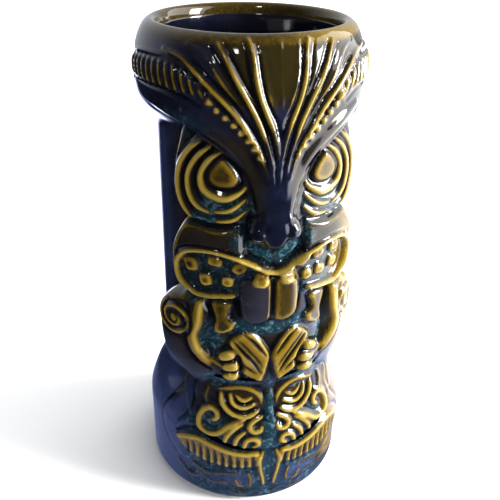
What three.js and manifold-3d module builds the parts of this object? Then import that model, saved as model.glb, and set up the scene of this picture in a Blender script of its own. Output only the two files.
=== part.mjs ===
// A tall tiki mug: a plain round tube with a floor, a flared headdress round its mouth, a full-height
// carved figure on its front, and a smaller head that forms its foot.
//
// Units are millimetres, +Z is up, and the figure faces -Y. The origin is the centre of the base.
// The carving is drawn on a flat sheet and wrapped round the tube: s runs round the tube, to the
// viewer's right of the face's centre line, and z runs up. Members that face each other across the
// centre line are made by a loop over SIDES, from one drawing with s counted away from the centre.
import * as THREE from "three";
import { mergeVertices } from "three/addons/utils/BufferGeometryUtils.js";
import Module from "manifold-3d";

const wasm = await Module();
wasm.setup();

// Driving dimensions
const HEIGHT = 200;
const TUBE_RADIUS = 35.4;
const BORE_RADIUS = 31.4;
const MOUTH_RADIUS = 33.3;
const FLOOR_TOP = 8;
const FOOT_HEIGHT = 2.6;
const HEADDRESS_RADIUS = 43.3;
const HEADDRESS_BOTTOM = 169;
const LOWER_HEAD_RADIUS = 44.4;
const LOWER_HEAD_TOP = 58;
const SHEET_RADIUS = 40; // one millimetre of sheet is 1/40 radian round the tube
const GAP = 0.35; // between neighbouring members
const ROUND_STEPS = 40; // facets round a full turn
const CUTTER_LAYERS = [16, 33, 52, 150]; // radii an outline's cutter is drawn at, from inside out

const SIDES = [
  { name: "left", sign: -1 },
  { name: "right", sign: 1 },
];

const GLAZES = {
  navy: new THREE.MeshStandardMaterial({ color: 0x14213d, roughness: 0.12 }),
  teal: new THREE.MeshStandardMaterial({ color: 0x1f5560, roughness: 0.15 }),
  amber: new THREE.MeshStandardMaterial({ color: 0xa8861c, roughness: 0.12 }),
  brown: new THREE.MeshStandardMaterial({ color: 0x4a2f10, roughness: 0.12 }),
  lilac: new THREE.MeshStandardMaterial({ color: 0x5c5870, roughness: 0.12 }),
  clay: new THREE.MeshStandardMaterial({ color: 0xcbb894, roughness: 0.9 }),
};

const mug = new THREE.Group();

// ---- solids -------------------------------------------------------------------------------------

function solidOf(geometry) {
  const bare = geometry.clone();
  bare.deleteAttribute("normal");
  bare.deleteAttribute("uv");
  const merged = mergeVertices(bare, 1e-4);
  const mesh = new wasm.Mesh({
    numProp: 3,
    vertProperties: merged.attributes.position.array,
    triVerts: new Uint32Array(merged.index.array),
  });
  return new wasm.Manifold(mesh);
}

function geometryOf(solid) {
  const mesh = solid.getMesh();
  const geometry = new THREE.BufferGeometry();
  geometry.setAttribute("position", new THREE.BufferAttribute(new Float32Array(mesh.vertProperties), 3));
  geometry.setIndex(new THREE.BufferAttribute(new Uint32Array(mesh.triVerts), 1));
  geometry.computeVertexNormals();
  return geometry;
}

function addMember(name, solid, glaze) {
  const mesh = new THREE.Mesh(geometryOf(solid), glaze);
  mesh.name = name;
  mug.add(mesh);
}

// A point of the sheet, at a radius from the mug's axis.
function onSheet(s, z, radius) {
  const turn = s / SHEET_RADIUS;
  return new THREE.Vector3(radius * Math.sin(turn), -radius * Math.cos(turn), z);
}

// A solid turned about the mug's axis, from [radius, z] points that run up its outside.
function turned(profile, steps = ROUND_STEPS) {
  const points = profile.map(([radius, z]) => new THREE.Vector2(radius, z));
  const geometry = new THREE.LatheGeometry([...points, points[0]], steps);
  geometry.rotateX(Math.PI / 2);
  return solidOf(geometry);
}

// Everything inside a turned outside: a filled barrel, for cutting and trimming.
function barrel(profile) {
  const bottom = profile[0][1];
  const top = profile[profile.length - 1][1];
  return turned([[0, bottom], ...profile, [0, top]]);
}

function smooth(outline, closed = true, steps = 2) {
  const points = outline.map(([s, z]) => new THREE.Vector3(s, z, 0));
  const curve = new THREE.CatmullRomCurve3(points, closed, "centripetal");
  const all = curve.getPoints(outline.length * steps);
  return closed ? all.slice(0, -1) : all;
}

function mirrored(outline, sign) {
  return outline.map(([s, z]) => [sign * s, z]);
}

// A half outline, drawn from the centre line out and back to it, with its mirror image.
function bothHalves(half) {
  const other = mirrored(half, -1).reverse();
  return [...half, ...other.filter(([s]) => s !== 0)];
}

// The wedge of space in front of and behind an outline: its walls run straight out from the axis.
function cutter(outline) {
  const flat = new THREE.Shape(smooth(outline).map((p) => new THREE.Vector2(p.x, p.y)));
  const layers = CUTTER_LAYERS.length - 1;
  const geometry = new THREE.ExtrudeGeometry(flat, { depth: layers, steps: layers, bevelEnabled: false });
  const place = geometry.attributes.position;
  for (let i = 0; i < place.count; i++) {
    const radius = CUTTER_LAYERS[Math.round(place.getZ(i))];
    const p = onSheet(place.getX(i), place.getY(i), radius);
    place.setXYZ(i, p.x, p.y, p.z);
  }
  return solidOf(geometry);
}

// A rounded boss: an ellipsoid set on the sheet, wide along s, high along z and proud along the radius.
function dome(s, z, radius, wide, high, proud, facets = 16) {
  const ball = new THREE.SphereGeometry(1, facets, facets / 2);
  ball.scale(wide, proud, high);
  ball.rotateZ(s / SHEET_RADIUS);
  const centre = onSheet(s, z, radius);
  ball.translate(centre.x, centre.y, centre.z);
  return solidOf(ball);
}

// A rounded ridge that follows a line on the sheet, at the radius that `reach` gives for each point.
function ridge(line, reach, width, steps = 2) {
  const path = new THREE.CatmullRomCurve3(
    smooth(line, false).map((p) => onSheet(p.x, p.y, reach(p.x, p.y))),
    false,
    "centripetal",
  );
  const section = new THREE.Shape();
  section.absarc(0, 0, width / 2, 0, 2 * Math.PI);
  return solidOf(
    new THREE.ExtrudeGeometry(section, {
      extrudePath: path,
      steps: (line.length - 1) * steps,
      curveSegments: 3,
      bevelEnabled: false,
    }),
  );
}

const joined = (solids) => solids.reduce((all, next) => all.add(next));
const tubeClear = barrel([
  [TUBE_RADIUS + GAP, -1],
  [TUBE_RADIUS + GAP, HEIGHT + 1],
]);

// A carved member: the outline's wedge, trimmed to its outer form and cut clear of what it sits on.
function member(outline, form, under = tubeClear) {
  return cutter(outline).intersect(form).subtract(under);
}

const plain = (lift) =>
  barrel([
    [TUBE_RADIUS + lift, 0],
    [TUBE_RADIUS + lift, HEIGHT],
  ]);

// ---- tube, foot and headdress -------------------------------------------------------------------

function buildVessel() {
  const outside = [
    [0, FOOT_HEIGHT + GAP],
    [TUBE_RADIUS, FOOT_HEIGHT + GAP],
    [TUBE_RADIUS, HEIGHT - 1.2],
    [TUBE_RADIUS - 0.8, HEIGHT],
  ];
  const inside = [
    [MOUTH_RADIUS + 0.2, HEIGHT - 0.3],
    [MOUTH_RADIUS, HEIGHT - 1.8],
    [BORE_RADIUS + 0.8, HEIGHT - 9],
    [BORE_RADIUS, HEIGHT - 26],
    [BORE_RADIUS, FLOOR_TOP + 6],
    [BORE_RADIUS - 3, FLOOR_TOP + 1],
    [BORE_RADIUS - 8, FLOOR_TOP],
    [0, FLOOR_TOP],
  ];
  addMember("vessel", turned([...outside, ...inside]), GLAZES.navy);
}

function buildFootRing() {
  const profile = [
    [36.4, 0],
    [41, 0],
    [42.4, 1.2],
    [42.8, FOOT_HEIGHT],
    [34.6, FOOT_HEIGHT],
  ];
  addMember("foot_ring", turned(profile), GLAZES.clay);
}

const HEADDRESS_SIDE = [
  [TUBE_RADIUS + 2.2, HEADDRESS_BOTTOM],
  [TUBE_RADIUS + 5.2, HEADDRESS_BOTTOM + 2.2],
  [HEADDRESS_RADIUS - 0.7, HEADDRESS_BOTTOM + 6.5],
  [HEADDRESS_RADIUS, HEADDRESS_BOTTOM + 11.5],
  [HEADDRESS_RADIUS - 0.4, 187],
  [HEADDRESS_RADIUS - 1.7, 193],
  [HEADDRESS_RADIUS - 3.6, 197],
  [HEADDRESS_RADIUS - 6, 199.3],
];
const BROW_RADIUS = HEADDRESS_RADIUS + 0.6;
const BROW_EDGE = [
  [40, 171.4],
  [34, 169.6],
  [27, 166],
  [20, 160.6],
  [15.6, 155.8],
  [12.6, 150],
  [10.8, 144],
  [9.8, 138.2],
];
const BROW = bothHalves([
  [0, 190],
  [24, 190],
  [40, 186],
  [46, 178],
  ...BROW_EDGE,
  [5, 137],
  [0, 136.8],
]);

function buildHeaddress() {
  const ring = turned([[TUBE_RADIUS + GAP, HEADDRESS_BOTTOM], ...HEADDRESS_SIDE, [TUBE_RADIUS + GAP, 199.6]]);
  const front = barrel([
    [BROW_RADIUS - 2.5, 130],
    [BROW_RADIUS, 146],
    [BROW_RADIUS, 166],
    [HEADDRESS_RADIUS + 0.1, 182],
    [HEADDRESS_RADIUS - 1.2, 190.5],
  ]);
  addMember("headdress", ring.add(member(BROW, front)), GLAZES.navy);
}

// What the ribs and beads of the headdress rest on, with the gap.
const headdressClear = barrel([
  [BROW_RADIUS + GAP, 130],
  [BROW_RADIUS + GAP, 168],
  [HEADDRESS_RADIUS + GAP + 0.4, 183],
  [HEADDRESS_RADIUS + GAP, 187.5],
  [HEADDRESS_RADIUS - 1.7 + GAP, 193.5],
  [HEADDRESS_RADIUS - 3.6 + GAP, 197.4],
]);
const headdressRelief = barrel([
  [BROW_RADIUS + 1.5, 130],
  [BROW_RADIUS + 1.5, 168],
  [HEADDRESS_RADIUS + 1.7, 183],
  [HEADDRESS_RADIUS + 1.3, 188],
  [HEADDRESS_RADIUS - 0.4, 193.5],
  [HEADDRESS_RADIUS - 2.4, 197.4],
]);

function buildPlumes() {
  const centre = bothHalves([
    [0, 196],
    [4.6, 196],
    [4, 188],
    [2.4, 180],
    [0, 176],
  ]);
  addMember("centre_plume", member(centre, headdressRelief, headdressClear), GLAZES.brown);
  const inner = [
    [6.4, 196],
    [9.2, 196],
    [7.4, 187],
    [5.8, 180],
    [3.8, 173],
    [3, 170],
    [3, 174],
    [3.8, 180],
    [5, 187],
  ];
  const outer = [
    [15.6, 196],
    [20, 196],
    [14.4, 187],
    [10.4, 180],
    [6.6, 172],
    [4.6, 167.6],
    [5, 173],
    [7.8, 181],
    [11, 188],
  ];
  const edge = [
    [34, 192.6],
    [34.4, 190.6],
    [27.4, 189],
    [21, 185.6],
    [15.6, 180.2],
    [10.6, 173],
    [6.6, 165],
    [7.2, 170],
    [11.6, 178.4],
    [16.4, 184.4],
    [21.4, 189],
    [27, 191.4],
  ];
  for (const { name, sign } of SIDES) {
    const plumes = { inner_plume: inner, outer_plume: outer, edge_plume: edge };
    for (const [plume, outline] of Object.entries(plumes)) {
      const solid = member(mirrored(outline, sign), headdressRelief, headdressClear);
      addMember(`${plume}_${name}`, solid, GLAZES.amber);
    }
  }
}

const BEAD_LINE = [
  [8, 162],
  [11.4, 168.4],
  [16.6, 175.4],
  [23, 181],
  [33, 186],
  [44, 187.4],
  [58, 187],
];

function buildBeadBands() {
  for (const { name, sign } of SIDES) {
    const line = mirrored(BEAD_LINE, sign);
    const strip = ridge(line, () => HEADDRESS_RADIUS + 1.2, 1.6, 2);
    const path = new THREE.CatmullRomCurve3(
      line.map(([s, z]) => new THREE.Vector3(s, z, 0)),
      false,
      "centripetal",
    );
    const beads = path.getSpacedPoints(13).map((p) => {
      const far = Math.abs(p.x) > 24;
      return dome(p.x, p.y, HEADDRESS_RADIUS + 1, 1.2, far ? 2.4 : 1.2, 1.3, 6);
    });
    const all = joined([strip, ...beads]).subtract(headdressClear);
    addMember(`bead_band_${name}`, all, GLAZES.amber);
  }
}

// ---- upper face ---------------------------------------------------------------------------------

function buildEyes() {
  const underBrow = BROW_EDGE.slice(1).map(([s, z]) => [s + 0.7, z - 1.2]);
  const boss = [
    [39.6, 160],
    ...underBrow,
    [20, 136.6],
    [30, 136.8],
    [37, 138],
    [41.2, 145],
    [41.6, 153],
  ];
  const arcs = [
    [
      [19, 158.6],
      [23.4, 157],
      [25.8, 151.6],
      [23.6, 147],
      [18, 145.6],
      [13.4, 148],
    ],
    [
      [23, 161.4],
      [28, 158.4],
      [31.2, 151],
      [29.4, 144],
      [24, 141],
      [17, 141.6],
      [13.2, 143.6],
    ],
    [
      [29, 163.4],
      [34.4, 158],
      [36.6, 150],
      [34.4, 142.6],
      [28, 138.4],
      [17, 138.2],
    ],
  ];
  const pupil = [
    [18.6, 156.6],
    [16.2, 153.6],
    [16, 150.8],
    [18.4, 149.8],
    [21, 151],
    [21.4, 154],
  ];
  for (const { name, sign } of SIDES) {
    const form = dome(sign * 26, 150, 20, 26, 30, 21.4);
    const reach = (s, z) =>
      20.2 + 21.4 * Math.sqrt(1 - ((z - 150) / 30) ** 2 - ((s - sign * 26) / 26) ** 2);
    const rings = arcs.map((arc) => ridge(mirrored(arc, sign), reach, 1.9));
    const inside = plain(8);
    const pupilWedge = cutter(mirrored(pupil, sign));
    const rim = cutter(mirrored(scaled(pupil, 1.12), sign));
    const eye = member(mirrored(boss, sign), form).add(joined(rings).intersect(inside));
    const socket = barrel([
      [TUBE_RADIUS + 3.4, 140],
      [TUBE_RADIUS + 3.4, 166],
    ]);
    addMember(`eye_${name}`, eye.subtract(rim.subtract(socket)), GLAZES.teal);
    const dot = pupilWedge.intersect(dome(sign * 18.4, 153, 34.6, 5.2, 6.4, 7.4));
    addMember(`pupil_${name}`, dot.subtract(plain(3.4 + GAP)), GLAZES.amber);
  }
}

// An outline grown about its own middle.
function scaled(outline, share) {
  const middle = [0, 1].map((k) => outline.reduce((sum, p) => sum + p[k], 0) / outline.length);
  return outline.map((p) => p.map((x, k) => middle[k] + (x - middle[k]) * share));
}

function buildNose() {
  const outline = bothHalves([
    [0, 136],
    [6, 136],
    [10.4, 133.4],
    [10.8, 128],
    [8, 124.2],
    [4, 122.4],
    [0, 121.6],
  ]);
  const form = joined([
    dome(0, 130, 35, 10.5, 11, 9.6),
    dome(-7, 128, 36, 4.6, 5, 6.6),
    dome(7, 128, 36, 4.6, 5, 6.6),
  ]);
  addMember("nose", member(outline, form), GLAZES.navy);
}

const MOUTH = [
  [0, 117],
  [5, 119],
  [10, 121.6],
  [16, 124],
  [22, 125],
  [28, 124.6],
  [33, 122.6],
  [36.6, 119],
  [37.6, 114.6],
  [36.4, 110.4],
  [33, 107.4],
  [28, 106],
  [21, 105.8],
  [14, 107],
];

function buildCheeks() {
  const outline = [
    [12, 133.6],
    [20, 134.6],
    [36, 136],
    [40.4, 131],
    [43, 124],
    [43.2, 116],
    [41, 109.6],
    [38.4, 106.4],
    [37.4, 108.6],
    [39, 114.4],
    [38, 119.6],
    [34, 123.9],
    [28.4, 126],
    [22, 126.4],
    [15.6, 125.4],
    [11.4, 123.9],
    [12, 127.6],
  ];
  const form = barrel([
    [TUBE_RADIUS + 5.5, 104],
    [TUBE_RADIUS + 8.2, 112],
    [TUBE_RADIUS + 8.6, 120],
    [TUBE_RADIUS + 7, 129],
    [TUBE_RADIUS + 4, 137],
  ]);
  for (const { name, sign } of SIDES) {
    addMember(`cheek_${name}`, member(mirrored(outline, sign), form), GLAZES.brown);
  }
}

const TEETH = {
  upper: [
    [4.6, 115.6, 2.6, 2.1],
    [12.2, 119, 2.8, 2.4],
    [21, 120.9, 3, 2.3],
    [30.4, 118.4, 3.2, 2.9],
  ],
  lower: [
    [16.4, 112.6, 2.3, 2.1],
    [24.2, 112.6, 2.5, 2.3],
  ],
};

function buildMouth() {
  const outline = bothHalves([
    ...MOUTH,
    [12.7, 108],
    [12.7, 111.4],
    [6, 112.4],
    [0, 112.6],
  ]);
  const ground = member(outline, plain(6));
  const lips = SIDES.map(({ sign }) => ridge(mirrored(MOUTH, sign), () => TUBE_RADIUS + 6.6, 2.2));
  const teeth = [...TEETH.upper, ...TEETH.lower].flatMap(([s, z, wide, high]) =>
    SIDES.map(({ sign }) => dome(sign * s, z, TUBE_RADIUS + 5.2, wide, high, 3, 8)),
  );
  const tongueWay = cutter(scaled(TONGUE, 1.05));
  const mouth = joined([ground, ...lips, ...teeth]).subtract(tongueWay.intersect(belowTongueTop));
  addMember("mouth", mouth.intersect(plain(8.6)), GLAZES.amber);
}

const TONGUE = bothHalves([
  [0, 111.8],
  [6, 111.4],
  [12, 110],
  [12, 102],
  [9.6, 97.6],
  [5.4, 95.4],
  [0, 95.8],
]);
const belowTongueTop = barrel([
  [60, 80],
  [60, 112.2],
]);

function buildTongue() {
  const lobes = SIDES.map(({ sign }) => dome(sign * 6.4, 105, 36.4, 6.8, 14, 8.4));
  const form = joined([...lobes, plain(4)]);
  addMember("tongue", member(TONGUE, form), GLAZES.lilac);
}

function buildJaws() {
  const outline = [
    [22.4, 104.4],
    [14.6, 104.6],
    [14.2, 100],
    [13.2, 96.8],
    [14.4, 93.6],
    [18.6, 90.2],
    [22, 92.4],
    [21.4, 98],
  ];
  for (const { name, sign } of SIDES) {
    const form = dome(sign * 18, 98, 34, 8, 12, 7.4);
    addMember(`jaw_${name}`, member(mirrored(outline, sign), form), GLAZES.brown);
  }
}

// ---- arms ---------------------------------------------------------------------------------------

function buildArms() {
  const arm = [
    [25, 102],
    [28, 103.4],
    [34, 103.6],
    [39.4, 104.2],
    [44.4, 102],
    [47.4, 96],
    [46.6, 88],
    [43.8, 78],
    [37, 67.4],
    [29, 62.4],
    [21.6, 66.4],
    [18.6, 71.4],
    [20.6, 76.2],
    [23.4, 82],
    [24.2, 88],
    [23.2, 96],
  ];
  const shoulderCoil = [
    [36, 94.4],
    [34.4, 96.2],
    [37, 98],
    [40, 94],
    [36.6, 89.4],
    [31.6, 92.6],
    [33.4, 99.6],
    [39.6, 100.4],
  ];
  const hand = [
    [18, 76],
    [17.6, 79.4],
    [16.4, 82.8],
    [14, 82.2],
    [14.4, 78.6],
    [11.4, 77],
    [11.2, 74.6],
    [14, 73.4],
    [11.6, 71.6],
    [11.8, 69],
    [15, 68.4],
    [18, 70.8],
  ];
  const form = barrel([
    [TUBE_RADIUS + 3.5, 60],
    [TUBE_RADIUS + 6.4, 68],
    [TUBE_RADIUS + 8.8, 84],
    [TUBE_RADIUS + 9.6, 92],
    [TUBE_RADIUS + 8.6, 101],
    [TUBE_RADIUS + 5, 109],
  ]);
  for (const { name, sign } of SIDES) {
    const coil = ridge(mirrored(shoulderCoil, sign), () => TUBE_RADIUS + 9.4, 1.8);
    const cut = coil.intersect(plain(10.4));
    addMember(`arm_${name}`, member(mirrored(arm, sign), form).add(cut), GLAZES.navy);
    const palm = dome(sign * 15, 75, 37.4, 6.4, 10, 7.4);
    addMember(`hand_${name}`, member(mirrored(hand, sign), palm), GLAZES.amber);
  }
}

// ---- lower head ---------------------------------------------------------------------------------

const LOWER_HEAD_SIDE = [
  [LOWER_HEAD_RADIUS - 1.4, FOOT_HEIGHT + GAP],
  [LOWER_HEAD_RADIUS - 0.4, FOOT_HEIGHT + 2.6],
  [LOWER_HEAD_RADIUS, 10],
  [LOWER_HEAD_RADIUS, 32],
  [LOWER_HEAD_RADIUS - 1, 39],
  [LOWER_HEAD_RADIUS - 3, 45],
  [LOWER_HEAD_RADIUS - 6, 51],
  [TUBE_RADIUS + 1, 57],
];
const lowerHeadClear = barrel([
  ...LOWER_HEAD_SIDE.map(([radius, z]) => [radius + GAP, z]),
  [TUBE_RADIUS + 1.6, LOWER_HEAD_TOP + GAP],
]).add(tubeClear);

function buildLowerHead() {
  const inside = [
    [TUBE_RADIUS + GAP, LOWER_HEAD_TOP],
    [TUBE_RADIUS + GAP, FOOT_HEIGHT + GAP],
  ];
  addMember("lower_head", turned([...LOWER_HEAD_SIDE, ...inside]), GLAZES.navy);
}

const LOWER_FACE_SIDE = [
  [LOWER_HEAD_RADIUS + 1, 16],
  [LOWER_HEAD_RADIUS + 1.3, 22],
  [LOWER_HEAD_RADIUS + 1.2, 34],
  [LOWER_HEAD_RADIUS + 0.6, 44],
  [LOWER_HEAD_RADIUS - 1.4, 54],
  [LOWER_HEAD_RADIUS - 4.2, 64],
];
const lowerFaceForm = barrel(LOWER_FACE_SIDE);
const onLowerFace = (lift) => barrel(LOWER_FACE_SIDE.map(([radius, z]) => [radius + lift, z]));

function buildLowerFace() {
  const outline = bothHalves([
    [0, 61.4],
    [8, 62],
    [18, 62.4],
    [27, 60.8],
    [33, 58.8],
    [40, 55.4],
    [41.4, 50.6],
    [43.6, 46],
    [44, 40],
    [42.4, 33],
    [38, 33.6],
    [30, 37.4],
    [20, 35.8],
    [10, 32.6],
    [0, 32],
  ]);
  addMember("lower_face", member(outline, lowerFaceForm, lowerHeadClear), GLAZES.teal);
}

function buildCrest() {
  const halfLeaf = [
    [1.9, 70],
    [1.8, 78.6],
    [4.4, 83.4],
    [8.6, 89],
    [12.6, 88.6],
    [15.4, 84.6],
    [12.4, 81.6],
    [10, 77.4],
    [9.4, 73],
    [9.4, 69.4],
    [5.6, 66.2],
    [1.8, 63.4],
  ];
  for (const { name, sign } of SIDES) {
    const form = dome(sign * 7, 77, 33, 12, 18, 9);
    addMember(`crest_leaf_${name}`, member(mirrored(halfLeaf, sign), form), GLAZES.amber);
  }
  const stem = bothHalves([
    [0, 76.4],
    [0.9, 75],
    [0.9, 62.6],
    [0, 62.2],
  ]);
  addMember("crest_stem", member(stem, plain(7)), GLAZES.teal);
}

function buildLowerFeatures() {
  const faceTop = onLowerFace(GAP);
  const eyeOutline = [
    [4, 56],
    [9, 59.6],
    [16, 59.6],
    [19.4, 57.4],
    [18.6, 52.6],
    [14, 49],
    [9, 48.4],
    [4.4, 50.6],
  ];
  const coil = [
    [21.6, 46.4],
    [23, 48.6],
    [27, 47.8],
    [28.8, 43.4],
    [25.4, 39.6],
    [20.4, 40.6],
    [15.4, 44.4],
  ];
  const whiskers = [
    [17.4, 36.2],
    [13.2, 42.6],
    [9.4, 39.6],
    [5.4, 36.4],
    [9, 34],
    [13, 34.8],
  ];
  for (const { name, sign } of SIDES) {
    const eye = member(mirrored(eyeOutline, sign), onLowerFace(1.4), faceTop);
    addMember(`lower_eye_${name}`, eye, GLAZES.amber);
    const curl = ridge(mirrored(coil, sign), () => LOWER_HEAD_RADIUS + 1, 2);
    addMember(`cheek_coil_${name}`, curl.subtract(faceTop), GLAZES.amber);
    const lip = member(mirrored(whiskers, sign), onLowerFace(1.1), faceTop);
    addMember(`whiskers_${name}`, lip, GLAZES.amber);
  }
  const nose = bothHalves([
    [0, 60],
    [2.2, 58],
    [2.2, 49],
    [4.2, 46],
    [4.4, 42.4],
    [2, 39.6],
    [0, 38.6],
  ]);
  addMember("lower_nose", member(nose, onLowerFace(1.2), faceTop), GLAZES.navy);
}

function buildLowerMouth() {
  const comb = [
    [2.4, 30.6],
    [12, 31],
    [21, 33.8],
    [28, 35.4],
    [34, 32.6],
    [37, 28.4],
    [33, 24.6],
    [24, 21],
    [14, 19.6],
    [5.6, 19.6],
    [4.6, 10.6],
    [2.4, 10.4],
  ];
  const toothGap = (s, sign) =>
    cutter(
      mirrored(
        [
          [s - 0.55, 19],
          [s - 0.6, 24.6],
          [s, 27.4],
          [s + 0.6, 24.6],
          [s + 0.55, 19],
        ],
        sign,
      ),
    );
  const form = barrel([
    [LOWER_HEAD_RADIUS + 1.2, 8],
    [LOWER_HEAD_RADIUS + 1.8, 20],
    [LOWER_HEAD_RADIUS + 1.8, 36],
  ]);
  for (const { name, sign } of SIDES) {
    const gaps = [8, 11, 14, 17, 20, 23.4, 27].map((s) => toothGap(s, sign));
    const solid = member(mirrored(comb, sign), form, lowerHeadClear).subtract(joined(gaps));
    addMember(`lower_teeth_${name}`, solid, GLAZES.amber);
  }
}

function buildEars() {
  const outline = [
    [49, 52],
    [47.6, 46],
    [49, 40],
    [52, 37],
    [55, 40],
    [56, 46],
    [54, 52],
  ];
  for (const { name, sign } of SIDES) {
    const form = onLowerFace(0);
    addMember(`ear_${name}`, member(mirrored(outline, sign), form, lowerHeadClear), GLAZES.amber);
  }
}

buildVessel();
buildFootRing();
buildHeaddress();
buildPlumes();
buildBeadBands();
buildEyes();
buildNose();
buildCheeks();
buildMouth();
buildTongue();
buildJaws();
buildArms();
buildLowerHead();
buildLowerFace();
buildCrest();
buildLowerFeatures();
buildLowerMouth();
buildEars();

export default mug;
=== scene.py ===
"""Tiki mug: a tall glazed tube with a flared headdress, a carved figure and a smaller head as its foot.

The outside is one clay skin. It is drawn flat, as a relief over a sheet that wraps the mug: s runs round
the mug to the viewer's right of the face, one millimetre of s being 1/40 radian, and t runs up it. Each
carved member is then cut from that skin along its own outline and given its thickness, so neighbours
meet without a step. Lengths in the drawing are millimetres; meshes are in metres.
"""

import math

import bmesh
import bpy
import numpy as np
from bpy.props import FloatProperty, FloatVectorProperty, PointerProperty
from mathutils import Matrix, Vector


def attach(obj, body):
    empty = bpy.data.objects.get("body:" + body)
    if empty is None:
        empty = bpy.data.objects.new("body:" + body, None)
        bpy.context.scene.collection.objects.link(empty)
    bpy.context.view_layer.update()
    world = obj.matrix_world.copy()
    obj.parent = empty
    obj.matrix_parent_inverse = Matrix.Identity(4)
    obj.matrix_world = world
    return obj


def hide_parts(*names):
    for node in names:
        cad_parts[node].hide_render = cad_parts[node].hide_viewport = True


bl_info = {
    "name": "Tiki mug",
    "version": (1, 0, 0),
    "blender": (4, 5, 0),
    "location": "3D View > Sidebar > Tiki mug",
    "description": "Builds a tall glazed tiki mug, member by member",
    "category": "Object",
}

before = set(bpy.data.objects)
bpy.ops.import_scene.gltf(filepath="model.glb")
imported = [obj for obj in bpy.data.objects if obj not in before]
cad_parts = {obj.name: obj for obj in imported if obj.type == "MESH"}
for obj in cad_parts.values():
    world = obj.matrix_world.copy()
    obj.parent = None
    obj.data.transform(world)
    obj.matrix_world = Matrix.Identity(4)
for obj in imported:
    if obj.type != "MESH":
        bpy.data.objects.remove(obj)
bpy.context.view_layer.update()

MM = 0.001
TOUCH = 1e-6  # points nearer than this are one
TURN_STEPS = 128
SHEET_RADIUS = 40.0
SIDES = (("left", -1), ("right", 1))

CORE = 34.0  # how far in the back of each member reaches
LIP_CORE = 194.5  # and how high
BORE = 31.6
GROUND = 40.6  # the low ground behind the figure
LIP_START = 192.0  # above this, t runs along the roll of the lip
CARVED = 62.0  # how far round from the front the skin is drawn finely
PLAIN_COLUMNS = 25  # and how many columns take it on to the middle of the back

# The plain outside, as (radius, height): the drum, the collar above the straight tube, the roll of the lip.
DRUM = [
    (42.5, 0.8), (43.3, 1.5), (44.0, 2.7), (44.4, 4.4), (44.4, 9), (44.4, 29), (44.4, 34), (44.2, 37),
    (43.4, 40), (42.1, 44), (40.4, 48), (38.0, 52), (36.2, 55.5), (35.4, 58.5), (35.4, 61),
]
COLLAR = [
    (35.4, 163), (35.5, 165.6), (36.4, 168), (38.6, 170.4), (40.8, 173), (42.3, 176.2), (42.9, 180),
    (42.9, 184), (42.5, 188), (41.5, 192),
]
LIP = [
    (41.5, 192), (40.1, 195.3), (38.4, 198.1), (36.6, 199.6), (35.1, 200), (33.9, 199.3),
    (33.2, 197.8), (32.9, 195.8),
]


# ---- drawing on the sheet ------------------------------------------------------------------------

def flowing(points, closed=False, step=0.3):
    """A smooth curve through the points, as closely spaced points."""
    p = np.asarray(points, float)
    if closed:
        ring = np.vstack([p[-1:], p, p[:2]])
    else:
        ring = np.vstack([2 * p[:1] - p[1:2], p, 2 * p[-1:] - p[-2:-1]])
    parts = []
    for a, b, c, d in zip(ring[:-3], ring[1:-2], ring[2:-1], ring[3:]):
        n = max(2, int(np.hypot(*(c - b)) / step))
        x = np.linspace(0, 1, n, endpoint=False)[:, None]
        parts.append(
            0.5 * (2 * b + (c - a) * x + (2 * a - 5 * b + 4 * c - d) * x**2 + (3 * b - a - 3 * c + d) * x**3)
        )
    if not closed:
        parts.append(p[-1:])
    return np.vstack(parts)


def both_halves(half):
    """A full outline from its right half, which is drawn from the centre line out and back to it."""
    return list(half) + [(-s, t) for s, t in reversed(half) if s != 0]


def ease(x, low=0.0, high=1.0):
    """0 at low and 1 at high, with a soft start and end. High may be the smaller one."""
    x = np.clip((x - low) / (high - low), 0, 1)
    return x * x * (3 - 2 * x)


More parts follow.
